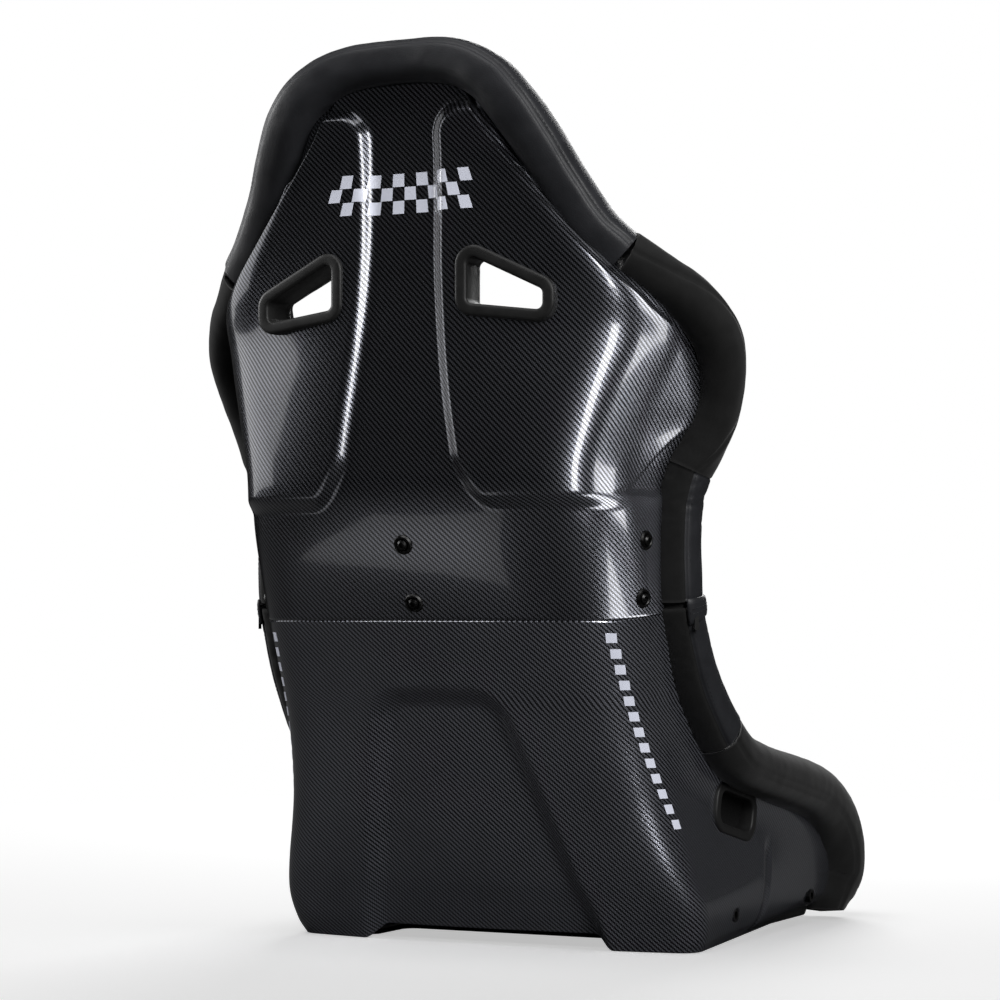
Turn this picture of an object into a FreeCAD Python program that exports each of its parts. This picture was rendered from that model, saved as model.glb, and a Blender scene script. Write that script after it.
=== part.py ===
import FreeCAD, Part
import math
import os
import Sketcher
from FreeCAD import Placement, Rotation, Vector

# Fixed-back racing bucket seat: a two-piece composite shell with an upholstered rim and pads.
# Millimetres. +Z is up, the driver faces -Y, and +X is the driver's left.
# The origin lies on the underside, on the middle plane, midway between the side mounts.

os.makedirs("parts", exist_ok=True)
doc = FreeCAD.newDocument("racing_seat")
sheet = doc.addObject("Spreadsheet::Sheet", "dims")

# ---------------------------------------------------------------- driving dimensions

DRIVING = {
    "shell_thickness": 3.5,      # laminate of the shell halves, the collar and the floor pan
    "seam_gap": 1.2,
    "seam_rise": 0.11,           # the seam climbs this much per millimetre along the flanks
    "shell_top": 837,            # top of the bare shell on the middle plane
    "head_spring": 790,          # where the arch over the head starts
    "head_half_width": 115,
    "lobe_rise": 11,             # the two raised lobes on the upper back
    "lobe_bottom": 434,
    "recess_depth": 18,          # scooped panel at the bottom of the back
    "recess_top": 249,
    "recess_top_half": 63,
    "recess_spread": 0.26,       # the scoop widens this much per millimetre downwards
    "crown_tuck": 8,             # the laminate stops this far inside the padded crown
    "arch_rise": 15,             # gap between the rear feet
    "arch_half_width": 126,
    "lip_slope": 0.035,          # the lower edge of the flanks climbs forwards
    "front_reach": 400,          # front end of the sole, ahead of the rear feet
    "mount_spacing": 220,
    "mount_height": 30,
    "mount_x": 229,
    "insert_radius": 4.0,        # M8 thread
    "insert_collar": 7.0,
    "insert_length": 20,
    "insert_flange": 10.5,
    "insert_flange_depth": 2.0,
    "mount_plate_length": 270,
    "mount_plate_width": 44,
    "mount_plate_depth": 3.0,
    "screw_radius": 3.0,         # M6 button-head screws through the joint
    "screw_length": 18,
    "screw_head_radius": 5.3,
    "screw_head_depth": 3.3,
    "socket_radius": 2.3,
    "socket_depth": 2.0,
    "washer_radius": 9.6,
    "washer_depth": 2.6,
    "washer_rim": 4.2,
    "nut_radius": 5.8,
    "nut_depth": 5.0,
    "joint_low": 340,            # heights of the two rows of joint screws
    "joint_high": 395,
    "backing_width": 30,
    "backing_length": 92,
    "backing_depth": 2.5,
    "slot_inner": 73,            # shoulder harness slot: distances from the middle plane
    "slot_outer": 148,
    "slot_inner_low": 621,
    "slot_inner_high": 667,
    "slot_outer_low": 612,
    "slot_outer_high": 631,
    "slot_border": 12,
    "slot_flange": 3.0,
    "slot_wall": 2.5,
    "slot_tunnel": 30,
    "slot_corner": 5,
    "lap_length": 76,            # lap belt slot in the flank
    "lap_height": 32,
    "lap_border": 10,
    "lap_flange": 3.0,
    "lap_tunnel": 15,
    "lap_corner": 9,
    "lap_reach": 97,             # centre of the slot ahead of the rear feet, and above the floor
    "lap_rise": 131,
    "rim_radius": 24,            # upholstered roll round the edge of the shell
    "cushion_half_width": 148,
    "cushion_rear": 4,
    "cushion_front": 430,
    "cushion_base": 22,
    "cushion_top": 96,
    "foam_base": 5,
    "bolster_inner": 152,
    "bolster_outer": 198,
    "bolster_top": 148,
    "bolster_front": 418,
    "soft_edge": 12,
    "tab_width": 34,             # leather flap that closes the cover at the joint, and its hook
    "tab_height": 30,
    "tab_depth": 3,
    "hook_width": 5,
    "hook_height": 14,
    "strip_depth": 2,            # hook-and-loop strips that hold the pads
    "film": 0.4,                 # printed vinyl
}

# Lines of the shell's outer face, one row per height.  Every row is half a horizontal section:
# the middle of the back, the corner where back and flank lines cross, how far the corner is rounded
# along each line, and the free edge.  Depths are measured forwards from the rear feet.
COLUMNS = ("height", "middle", "corner_half", "corner_depth", "rounding", "edge_half", "edge_depth")
STATIONS = {
    "sole": (0, -26, 221, -5, 22, 174, 400),
    "lip": (14, -32, 227, -14, 26, 224, 385),
    "foot": (40, -43, 231, -28, 32, 229, 378),
    "haunch": (80, -61, 223, -51, 44, 231, 352),
    "thigh": (120, -78, 213, -67, 54, 231, 296),
    "saddle": (150, -90, 205, -77, 56, 229, 180),
    "hip": (170, -98, 200, -85, 56, 225, 84),
    "tuck": (210, -115, 193, -99, 56, 217, 16),
    "loin": (260, -136, 190, -118, 56, 213, -28),
    "seam": (323, -166, 193, -138, 56, 212, -64),
    "waist": (410, -200, 198, -160, 54, 212, -72),
    "ledge": (460, -207, 189, -174, 50, 216, -74),
    "flare": (515, -207, 197, -166, 46, 241, -68),
    "wing": (550, -205, 208, -158, 46, 250, -62),
    "shoulder": (590, -202, 224, -142, 46, 255, -64),
    "yoke": (620, -199, 226, -152, 44, 248, -98),
    "collar": (650, -197, 206, -172, 36, 217, -142),
    "neck": (704, -194, 160, -187, 24, 165, -170),
    "temple": (750, -194, 131, -194, 20, 136, -178),
    "brow": (800, -198, 109, -207, 18, 112, -192),
    "crown": (845, -204, 93, -212, 18, 96, -198),
}


def fill_sheet():
    row = 1
    for name, value in DRIVING.items():
        sheet.set(f"A{row}", name)
        sheet.set(f"B{row}", str(value))
        sheet.setAlias(f"B{row}", name)
        row += 1
    for station, values in STATIONS.items():
        sheet.set(f"A{row}", station)
        for letter, column, value in zip("BCDEFGH", COLUMNS, values):
            sheet.set(f"{letter}{row}", str(value))
            sheet.setAlias(f"{letter}{row}", f"{station}_{column}")
        row += 1
    doc.recompute()


fill_sheet()


def size(name):
    return float(sheet.get(name))


HEIGHTS = [size(f"{station}_height") for station in STATIONS]
LINES = {column: [size(f"{station}_{column}") for station in STATIONS] for column in COLUMNS}
FEET = size("front_reach") / 2 - 10      # distance of the rear feet behind the origin
THICKNESS = size("shell_thickness")
SEAM = size("seam_height")
GAP = size("seam_gap")

# ---------------------------------------------------------------- smooth lines and sections


def smoothstep(value):
    value = min(max(value, 0.0), 1.0)
    return value * value * (3 - 2 * value)


def fair(x, knots, values):
    """Smooth curve through the knots that never overshoots them."""
    if x <= knots[0]:
        return values[0]
    if x >= knots[-1]:
        return values[-1]
    last = len(knots) - 1
    slopes = [(values[i + 1] - values[i]) / (knots[i + 1] - knots[i]) for i in range(last)]

    def tangent(i):
        if i == 0 or i == last:
            return slopes[0] if i == 0 else slopes[-1]
        before, after = slopes[i - 1], slopes[i]
        if before * after <= 0:
            return 0.0
        return 2 * before * after / (before + after)

    i = max(k for k in range(last) if knots[k] <= x)
    span = knots[i + 1] - knots[i]
    t = (x - knots[i]) / span
    return (values[i] * (1 + 2 * t) * (1 - t) ** 2 + tangent(i) * span * t * (1 - t) ** 2
            + values[i + 1] * t * t * (3 - 2 * t) - tangent(i + 1) * span * t * t * (1 - t))


PANEL_END = 0.5       # the section parameter runs 0 to 0.5 on the back,
CORNER_END = 0.72     # to 0.72 round the corner, and to 1 along the flank


def half_section(s, middle, corner_x, corner_y, rounding, edge_x, edge_y):
    """Point (x, y) at parameter s of half a horizontal section, y measured backwards."""
    panel_x = corner_x - rounding
    bow = (corner_y - middle) / corner_x ** 2
    if s <= PANEL_END:
        x = panel_x * s / PANEL_END
        return x, middle + bow * x * x
    start = (panel_x, middle + bow * panel_x ** 2)
    knee = (corner_x, start[1] + 2 * bow * panel_x * rounding)
    run_x, run_y = edge_x - knee[0], edge_y - knee[1]
    run = math.hypot(run_x, run_y)
    reach = min(rounding, 0.8 * run) / run
    end = (knee[0] + run_x * reach, knee[1] + run_y * reach)
    if s <= CORNER_END:
        t = (s - PANEL_END) / (CORNER_END - PANEL_END)
        return tuple((1 - t) ** 2 * a + 2 * t * (1 - t) * b + t * t * c for a, b, c in zip(start, knee, end))
    t = (s - CORNER_END) / (1 - CORNER_END)
    return end[0] + (edge_x - end[0]) * t, end[1] + (edge_y - end[1]) * t


def lines_at(z):
    """Section lines at height z, with depths turned into row coordinates."""
    values = {column: fair(z, HEIGHTS, LINES[column]) for column in COLUMNS[1:]}
    return (FEET - values["middle"], values["corner_half"], FEET - values["corner_depth"],
            values["rounding"], values["edge_half"], FEET - values["edge_depth"])


def lobe(x, z):
    """Height of the raised lobes: they flank a central channel that widens downwards."""
    channel = fair(z, (425, 450, 480, 700, 800), (96, 74, 60, 38, 38))
    inside = smoothstep((x - channel + 8) / 16)
    bottom = smoothstep((z - size("lobe_bottom") + 8) / 16)
    rim = fair(z, (600, 704, 750, 800), (400, 400, 118, 86))
    outside = 1 - smoothstep((x - rim) / 20)
    top = 1 - smoothstep((z - 798) / 18)
    return size("lobe_rise") * inside * bottom * outside * top


def recess(x, z):
    """Depth of the scooped panel at the bottom of the back."""
    half = size("recess_top_half") + size("recess_spread") * (size("recess_top") - z)
    across = 1 - smoothstep((x - half + 13) / 26)
    below = 1 - smoothstep((z - size("recess_top") + 9) / 18)
    shallow = 0.65 + 0.35 * min(z / size("recess_top"), 1.0)
    return size("recess_depth") * across * below * shallow


def outer_point(s, z):
    """Point of the shell's outer face; s runs from -1 (right edge) to 1 (left edge)."""
    x, y = half_section(abs(s), *lines_at(z))
    y += lobe(x, z) * (1 - smoothstep((abs(s) - 0.6) / 0.2)) - recess(x, z)
    return Vector(math.copysign(x, s), y, z + low_edge_lift(x, y, z))


def low_edge_lift(x, y, z):
    """The flank's lip climbs forwards, and the back arches up between the rear feet."""
    lip = size("lip_height")
    weight = z / lip if z < lip else max(0.0, 1 - (z - lip) / 136)
    arch = size("arch_rise") * (1 - smoothstep((x - size("arch_half_width") + 12) / 24))
    return size("lip_slope") * max(0.0, FEET - y) * weight + arch * max(0.0, 1 - z / 60)


def crown_at(s):
    """Height of the shell's top edge above the section point s."""
    x = min(abs(outer_point(s, size("head_spring")).x), size("head_half_width"))
    drop = 1 - (x / size("head_half_width")) ** 3.2
    return size("head_spring") + (size("shell_top") - size("head_spring")) * math.sqrt(max(drop, 0.0))


def seam_at(s):
    """Height of the joint line above the section point s."""
    y = outer_point(s, SEAM).y
    return SEAM + size("seam_rise") * max(0.0, FEET + 130 - y)


def outward(s, z):
    """Unit normal of the outer face."""
    step = 0.01
    along = outer_point(min(s + step, 1), z) - outer_point(max(s - step, -1), z)
    up = outer_point(s, z + 3) - outer_point(s, max(z - 3, 0))
    normal = up.cross(along)
    normal.normalize()
    return normal


def offset_point(s, z, depth):
    """Point at a depth inwards from the outer face, square to the section."""
    step = 0.012
    a = outer_point(max(s - step, -1), z)
    b = outer_point(min(s + step, 1), z)
    inward = Vector(b.y - a.y, a.x - b.x, 0)
    inward.normalize()
    return outer_point(s, z) + inward * depth


def outer_row(s, z, depth):
    return offset_point(s, z, depth) if depth else outer_point(s, z)


# The face that the driver touches, as the same kind of section with its own lines.


def cabin_point(s, z):
    middle, corner_x, corner_y, rounding, edge_x, edge_y = lines_at(z)
    depth = fair(z, (330, 480, 640, 760, 840), (50, 44, 34, 42, 46))
    side = fair(z, (150, 600, 704, 840), (40, 38, 22, 16))
    x, y = half_section(abs(s), middle - depth, corner_x - side, corner_y - depth, rounding * 0.9,
                        edge_x - side, edge_y)
    return Vector(math.copysign(x, s), y, z + low_edge_lift(x, y, z))


def between(s, z, fraction):
    """Point between the shell's outer face (0) and the driver's side (1)."""
    return outer_point(s, z) * (1 - fraction) + cabin_point(s, z) * fraction


# ---------------------------------------------------------------- solids from surfaces


def spread(low, high, count):
    return [low + (high - low) * i / (count - 1) for i in range(count)]


def skin_solid(back, front):
    """Solid between two grids of points that have the same rows and columns."""
    surfaces = []
    for grid in (back, front):
        surface = Part.BSplineSurface()
        surface.interpolate(grid)
        surfaces.append(surface)
    faces = [surface.toShape() for surface in surfaces]
    a, b = surfaces
    u0, u1, v0, v1 = a.bounds()
    p0, p1, q0, q1 = b.bounds()
    pairs = ((a.uIso(u0), b.uIso(p0)), (a.uIso(u1), b.uIso(p1)), (a.vIso(v0), b.vIso(q0)), (a.vIso(v1), b.vIso(q1)))
    faces += [Part.makeRuledSurface(one.toShape(), two.toShape()) for one, two in pairs]
    shell = Part.makeShell(faces)
    shell.sewShape(0.001)
    solid = Part.makeSolid(shell)
    if solid.Volume < 0:
        solid.reverse()
    return solid


def feature(name, shape):
    part = doc.addObject("Part::Feature", name)
    part.Label = name
    part.Shape = shape
    NODES.append(part)
    return part


NODES = []


# Share of the section, from the middle, that the laminate covers before the padded roll takes over.
LAMINATE_HEIGHTS = (0, 14, 60, 80, 120, 150, 170, 210, 260, 323, 360, 410, 515, 550, 570, 590, 605, 620, 680,
                    704, 730, 750, 790, 815)
LAMINATE_SHARES = (0.965, 0.97, 0.981, 0.978, 0.948, 0.907, 0.92, 0.95, 0.945, 0.97, 0.978, 1, 1, 0.95, 0.895,
                   0.78, 0.725, 0.7, 0.67, 0.665, 0.64, 0.6, 0.53, 0.5)


def laminate_share(z):
    return fair(z, LAMINATE_HEIGHTS, LAMINATE_SHARES)


def shell_skin(low, high, depth_out, depth_in, columns, rows, share=laminate_share):
    """Skin of the shell between two edge functions low(s) and high(s)."""
    grids = []
    for depth in (depth_out, depth_in):
        grid = []
        for s in spread(-1, 1, columns):
            grid.append([outer_row(s * share(z), z, depth) for z in spread(low(s), high(s), rows)])
        grids.append(grid)
    return skin_solid(*grids)


def pad_solid(s_low, s_high, z_low, z_high, f_back, f_front, columns=9, rows=9):
    """Soft pad between two fractions of the space inside the shell."""
    grids = []
    for fraction in (f_back, f_front):
        grids.append([[between(s, z, fraction) for z in spread(z_low, z_high, rows)]
                      for s in spread(s_low, s_high, columns)])
    return skin_solid(*grids)


SIDES = {"left": 1, "right": -1}

# ---------------------------------------------------------------- sketch helpers


def origin_plane(body, role):
    return next(item for item in body.Origin.OriginFeatures if item.Role == role)


def new_body(name):
    body = doc.addObject("PartDesign::Body", name)
    body.Label = name
    return body


def polygon_sketch(body, name, role, corners, circles=()):
    """Closed polygon whose corners, and circles whose centres and radii, follow expressions."""
    sketch = body.newObject("Sketcher::SketchObject", name)
    sketch.AttachmentSupport = [(origin_plane(body, role), "")]
    sketch.MapMode = "FlatFace"
    places = [Vector(number(x), number(y), 0) for x, y in corners]
    for i, place in enumerate(places):
        sketch.addGeometry(Part.LineSegment(place, places[(i + 1) % len(places)]), False)
    for i in range(len(places)):
        sketch.addConstraint(Sketcher.Constraint("Coincident", i, 2, (i + 1) % len(places), 1))
    for i, (x, y) in enumerate(corners):
        bind_point(sketch, i, 1, x, y)
    for x, y, radius in circles:
        centre = Vector(number(x), number(y), 0)
        index = sketch.addGeometry(Part.Circle(centre, Vector(0, 0, 1), number(radius)), False)
        bind_point(sketch, index, 3, x, y)
        bind(sketch, sketch.addConstraint(Sketcher.Constraint("Radius", index, number(radius))), radius)
    return sketch


def number(expression):
    """Value of an expression made of sheet aliases and plain arithmetic."""
    return float(sheet.evalExpression(expression.replace("dims.", "")))


def bind(sketch, index, expression):
    sketch.setExpression(f"Constraints[{index}]", expression)


def bind_point(sketch, index, point, x, y):
    for kind, value in (("DistanceX", x), ("DistanceY", y)):
        constraint = Sketcher.Constraint(kind, -1, 1, index, point, number(value))
        bind(sketch, sketch.addConstraint(constraint), value)


def pad(body, name, sketch, length, reverse=False, midplane=False):
    extrusion = body.newObject("PartDesign::Pad", name)
    extrusion.Profile = sketch
    extrusion.setExpression("Length", length)
    extrusion.Reversed = reverse
    extrusion.Midplane = midplane
    doc.recompute()
    return extrusion


def pocket(body, name, sketch, length, reverse=False):
    before = body.Shape.Volume
    cut = body.newObject("PartDesign::Pocket", name)
    cut.Profile = sketch
    cut.setExpression("Length", length)
    cut.Reversed = reverse
    doc.recompute()
    if body.Shape.Volume > before - 1e-3:
        raise RuntimeError(f"{name} cuts nothing")
    return cut


def revolve(body, name, sketch):
    turned = body.newObject("PartDesign::Revolution", name)
    turned.Profile = sketch
    turned.ReferenceAxis = (sketch, ["V_Axis"])
    turned.Angle = 360
    doc.recompute()
    return turned


def round_edges(body, name, base, radius, wanted):
    """Fillet every edge of the feature that the test picks."""
    edges = [f"Edge{i + 1}" for i, edge in enumerate(base.Shape.Edges) if wanted(edge)]
    rounding = body.newObject("PartDesign::Fillet", name)
    rounding.Base = (base, edges)
    rounding.setExpression("Radius", radius)
    doc.recompute()
    return rounding


def along(axis):
    """Edge test: straight and parallel to the axis."""
    def test(edge):
        if not isinstance(edge.Curve, Part.Line):
            return False
        return abs(edge.tangentAt(edge.FirstParameter).dot(axis)) > 0.999
    return test


# ---------------------------------------------------------------- places on the shell


def s_on_flank(z, depth):
    """Section parameter where the flank at height z is a given depth ahead of the rear feet."""
    low, high = PANEL_END, 1.0
    for _ in range(40):
        middle = (low + high) / 2
        if FEET - outer_point(middle, z).y < depth:
            low = middle
        else:
            high = middle
    return low


def s_on_panel(x, z):
    """Section parameter where the back at height z is a distance x from the middle plane."""
    _, corner_x, _, rounding, _, _ = lines_at(z)
    return PANEL_END * x / (corner_x - rounding)


def standing_on(s, z, depth=0.0):
    """Placement on the outer face, with local Z pointing out of the shell and local Y upwards."""
    out = outward(s, z)
    across = Vector(0, 0, 1).cross(out)
    across.normalize()
    return Placement(outer_point(s, z) - out * depth, Rotation(across, out.cross(across), out, "ZXY"))


FLANK_SCREW_DEPTH = -98      # the flank screws sit this far ahead of the rear feet (behind them)
JOINT_ROWS = (size("joint_low"), size("joint_high"))
REAR_SPOTS = [(0.0, z) for z in JOINT_ROWS]
FLANK_SPOTS = {name: [(side * s_on_flank(z + 4, FLANK_SCREW_DEPTH), z + 4) for z in JOINT_ROWS]
               for name, side in SIDES.items()}
JOINT_SPOTS = REAR_SPOTS + FLANK_SPOTS["left"] + FLANK_SPOTS["right"]
COLLAR_OUT = THICKNESS + 0.5
COLLAR_IN = COLLAR_OUT + THICKNESS


def group_feature(name, master, placements):
    """One node holding a copy of the master solid at every placement."""
    copies = []
    for placement in placements:
        copy = master.Shape.copy()
        copy.Placement = placement.multiply(copy.Placement)
        copies.append(copy)
    return feature(name, Part.makeCompound(copies))


def bore(s, z, radius, start=-10, end=30):
    """Cylinder through the shell, square to its outer face."""
    place = standing_on(s, z)
    out = place.Rotation.multVec(Vector(0, 0, 1))
    return Part.makeCylinder(radius, end - start, place.Base - out * end, out)


# ---------------------------------------------------------------- belt slot surrounds

SLOT_YAW = math.radians(6)
SLOT_CORNERS = (("inner", "inner_low"), ("outer", "outer_low"), ("outer", "outer_high"), ("inner", "inner_high"))
SLOT_PUSH = {"inner": -1, "outer": 1, "inner_low": -1, "outer_low": -1, "outer_high": 1, "inner_high": 1}


def slot_corners(grow):
    """Corners of the belt opening, each pushed outwards by the expression grow."""
    corners = []
    for across, up in SLOT_CORNERS:
        corners.append((f"dims.slot_{across} + ({grow}) * {SLOT_PUSH[across]}",
                        f"dims.slot_{up} + ({grow}) * {SLOT_PUSH[up]}"))
    return corners


def slot_placement():
    """Left shoulder slot: sketch X runs outboard and forwards, sketch Y runs up, local Z runs forwards."""
    across = Vector(math.cos(SLOT_YAW), -math.sin(SLOT_YAW), 0)
    forwards = Vector(-math.sin(SLOT_YAW), -math.cos(SLOT_YAW), 0)
    highest = 0.0
    for x in spread(size("slot_inner") - 12, size("slot_outer") + 12, 9):
        for z in spread(size("slot_outer_low"), size("slot_inner_high"), 5):
            point = outer_point(s_on_panel(x, z), z)
            highest = max(highest, -forwards.dot(point))
    centre = Vector(0, (highest + 0.2) / math.cos(SLOT_YAW), 0)
    return Placement(centre, Rotation(across, Vector(0, 0, 1), forwards, "ZXY"))


def build_slot_frame(name, flange_out, tunnel):
    body = new_body(name)
    flange_sketch = polygon_sketch(body, name + "_flange", "XY_Plane", slot_corners("dims.slot_border"))
    flange = pad(body, name + "_plate", flange_sketch, "dims.slot_flange", reverse=flange_out)
    round_edges(body, name + "_outline", flange, "dims.slot_border", along(Vector(0, 0, 1)))
    sleeve_sketch = polygon_sketch(body, name + "_sleeve", "XY_Plane", slot_corners("dims.slot_wall"))
    pad(body, name + "_tunnel", sleeve_sketch, tunnel, reverse=not flange_out)
    opening_sketch = polygon_sketch(body, name + "_mouth", "XY_Plane", slot_corners("0"))
    opening = pocket(body, name + "_opening", opening_sketch, "200", reverse=False)
    opening.Midplane = True
    doc.recompute()
    return body


def opening_prism(grow, length=200):
    """Prism of the left belt opening, grown outwards, for cutting the pieces that it passes."""
    corners = [Vector(number(x), number(y), -length / 2) for x, y in slot_corners(str(grow))]
    prism = Part.Face(Part.makePolygon(corners + corners[:1])).extrude(Vector(0, 0, length))
    prism.Placement = slot_placement().multiply(prism.Placement)
    return prism


def mirrored(shape):
    return shape.mirror(Vector(0, 0, 0), Vector(1, 0, 0))


def mirror_node(name, source):
    other = doc.addObject("Part::Mirroring", name)
    other.Label = name
    other.Source = source
    other.Normal = Vector(1, 0, 0)
    NODES.append(other)
    return other


frame_left = build_slot_frame("shoulder_slot_frame_left", True, "dims.slot_tunnel")
frame_left.Placement = slot_placement()
NODES.append(frame_left)
mirror_node("shoulder_slot_frame_right", frame_left)

BEZEL_GAP = size("slot_tunnel") + 4.5
bezel_left = build_slot_frame("shoulder_slot_bezel_left", False, "dims.slot_flange")
bezel_left.Placement = slot_placement().multiply(Placement(Vector(0, 0, BEZEL_GAP), Rotation()))
NODES.append(bezel_left)
mirror_node("shoulder_slot_bezel_right", bezel_left)

LAP_TILT = -13
LAP_X = ("dims.lap_length", "dims.lap_height")


def lap_corners(grow):
    """Rounded slot round the local point (100, 100), grown outwards by an expression."""
    half_length, half_height = (f"({term} / 2 + {grow})" for term in LAP_X)
    return [(f"100 - {half_length}", f"100 - {half_height}"), (f"100 + {half_length}", f"100 - {half_height}"),
            (f"100 + {half_length}", f"100 + {half_height}"), (f"100 - {half_length}", f"100 + {half_height}")]


LAP_STANDOFF = 1.4      # the flange stands this far off the curved flank, on its seal


def lap_placement():
    """Left lap slot: local X runs forwards, local Y up, local Z inwards, centred on local (100, 100)."""
    z = size("lap_rise")
    place = outer_point(s_on_flank(z, size("lap_reach")), z)
    ahead = outer_point(s_on_flank(z, size("lap_reach") + 40), z) - place
    ahead.normalize()
    inwards = ahead.cross(Vector(0, 0, 1))
    frame = Rotation(ahead, Vector(0, 0, 1), inwards, "ZXY").multiply(Rotation(Vector(0, 0, 1), LAP_TILT))
    return Placement(place - inwards * LAP_STANDOFF, frame).multiply(Placement(Vector(-100, -100, 0), Rotation()))


def build_lap_frame(name):
    body = new_body(name)
    flange_sketch = polygon_sketch(body, name + "_flange", "XY_Plane", lap_corners("dims.lap_border"))
    flange = pad(body, name + "_plate", flange_sketch, "dims.lap_flange", reverse=True)
    round_edges(body, name + "_outline", flange, "dims.lap_corner + dims.lap_border", along(Vector(0, 0, 1)))
    sleeve_sketch = polygon_sketch(body, name + "_sleeve", "XY_Plane", lap_corners("dims.slot_wall"))
    pad(body, name + "_tunnel", sleeve_sketch, "dims.lap_tunnel")
    opening_sketch = polygon_sketch(body, name + "_mouth", "XY_Plane", lap_corners("0"))
    opening = pocket(body, name + "_opening", opening_sketch, "200")
    opening.Midplane = True
    doc.recompute()
    return body


def lap_prism(grow, length=160):
    corners = [Vector(number(x), number(y), -length / 2) for x, y in lap_corners(str(grow))]
    prism = Part.Face(Part.makePolygon(corners + corners[:1])).extrude(Vector(0, 0, length))
    prism.Placement = lap_placement().multiply(prism.Placement)
    return prism


lap_left = build_lap_frame("lap_slot_frame_left")
lap_left.Placement = lap_placement()
NODES.append(lap_left)
mirror_node("lap_slot_frame_right", lap_left)

# ---------------------------------------------------------------- upholstered rim

# Centre line of the roll round the shell's edge, from the middle of the crown down and forwards:
# distance from the middle plane, depth ahead of the rear feet, height and radius.
CROWN_LINE = [(0, -201, 855, 21), (58, -204, 850, 22), (95, -206, 832, 23), (118, -202, 806, 24),
              (139, -187, 770, 24), (159, -170, 729, 24), (182, -157, 690, 24), (202, -143, 668, 24)]
SHOULDER_LINE = [(205, -141, 665, 24), (229, -116, 645, 24), (250, -92, 624, 25), (263, -70, 596, 26),
                 (264, -54, 568, 26), (255, -42, 530, 26), (240, -42, 492, 25), (230, -46, 470, 24)]
WAIST_LINE = [(229, -46, 468, 24), (221, -47, 440, 24), (218, -48, 405, 24), (218, -47, 366, 24),
              (218, -44, 332, 24)]
HIP_LINE = [(218, -41, 327, 24), (219, -29, 300, 24), (220, -13, 270, 25), (223, 10, 240, 25), (226, 34, 214, 25)]
THIGH_LINE = [(226, 37, 212, 26), (230, 70, 188, 26), (232, 125, 173, 26), (233, 200, 159, 27),
              (231, 280, 143, 29), (226, 338, 120, 33), (221, 374, 90, 37), (217, 388, 58, 38), (213, 382, 40, 37),
              (212, 378, 24, 33), (212, 376, 8, 25)]


def rim_solid(line, across):
    """Tube through the circles of a line, with flat ends where two covers meet."""
    points = [Vector(x, FEET - depth, z) for x, depth, z, _ in line]
    circles = []
    for i, point in enumerate(points):
        direction = points[min(i + 1, len(points) - 1)] - points[max(i - 1, 0)]
        direction.normalize()
        across = across - direction * across.dot(direction)
        across.normalize()
        circle = Part.makeCircle(line[i][3])
        circle.Placement = Placement(point, Rotation(across, direction.cross(across), direction, "ZXY"))
        circles.append(Part.Wire(circle))
    return Part.makeLoft(circles, True)


def both_nodes(name, shape):
    feature(f"{name}_left", shape)
    feature(f"{name}_right", mirrored(shape))


OUTBOARD = Vector(1, 0, 0)
RIGHT_HALF = [(-x, depth, z, radius) for x, depth, z, radius in reversed(CROWN_LINE[1:])]
feature("head_roll", rim_solid(RIGHT_HALF + CROWN_LINE, Vector(0, 1, 0)))
both_nodes("shoulder_roll", rim_solid(SHOULDER_LINE, OUTBOARD))
both_nodes("waist_roll", rim_solid(WAIST_LINE, OUTBOARD))
both_nodes("hip_roll", rim_solid(HIP_LINE, OUTBOARD))
both_nodes("thigh_roll", rim_solid(THIGH_LINE, OUTBOARD))

# ---------------------------------------------------------------- shells


def cut_all(shape, tools):
    for tool in tools:
        shape = shape.cut(tool)
    return shape


def both_sides(shape):
    return [shape, mirrored(shape)]


def above_floor(shape):
    """Trims the underside to the floor plane."""
    block = 1200
    return shape.common(Part.makeBox(block, block, block, Vector(-block / 2, -block / 2, 0)))


SLEEVE_ROOM = size("slot_wall") + 0.3
MOUNT_DEPTHS = [FEET - y * size("mount_spacing") / 2 for y in (1, -1)]
HARNESS_CUTS = both_sides(opening_prism(SLEEVE_ROOM))
JOINT_BORES = [bore(s, z, size("screw_radius") + 0.3) for s, z in JOINT_SPOTS]


def mount_axis_point(depth, side):
    """Middle of a side-mount insert's mouth."""
    return Vector(side * size("mount_x"), FEET - depth, size("mount_height"))


def mount_bore(depth, side, radius):
    inboard = Vector(side * (size("mount_x") - 60), FEET - depth, size("mount_height"))
    return Part.makeCylinder(radius, 100, inboard, Vector(side, 0, 0))


MOUNT_BORES = [mount_bore(depth, side, size("insert_collar") + 0.3) for depth in MOUNT_DEPTHS for side in (1, -1)]



def laminate_top(s):
    """The laminate stops inside the padded roll along the crown."""
    return crown_at(s * laminate_share(size("head_spring"))) - size("crown_tuck")


upper = shell_skin(lambda s: seam_at(s) + GAP / 2, laminate_top, 0, THICKNESS, 65, 53)
feature("upper_shell", cut_all(upper, HARNESS_CUTS + JOINT_BORES))

lower = shell_skin(lambda s: 0.0, lambda s: seam_at(s) - GAP / 2, 0, THICKNESS, 65, 57)
LAP_CUTS = both_sides(lap_prism(SLEEVE_ROOM))
feature("lower_shell", above_floor(cut_all(lower, LAP_CUTS + MOUNT_BORES)))

collar = shell_skin(lambda s: SEAM - 28, lambda s: size("lobe_bottom") - 14, COLLAR_OUT, COLLAR_IN, 41, 9,
                    lambda z: 0.93)
feature("joint_collar", cut_all(collar, JOINT_BORES))


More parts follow.
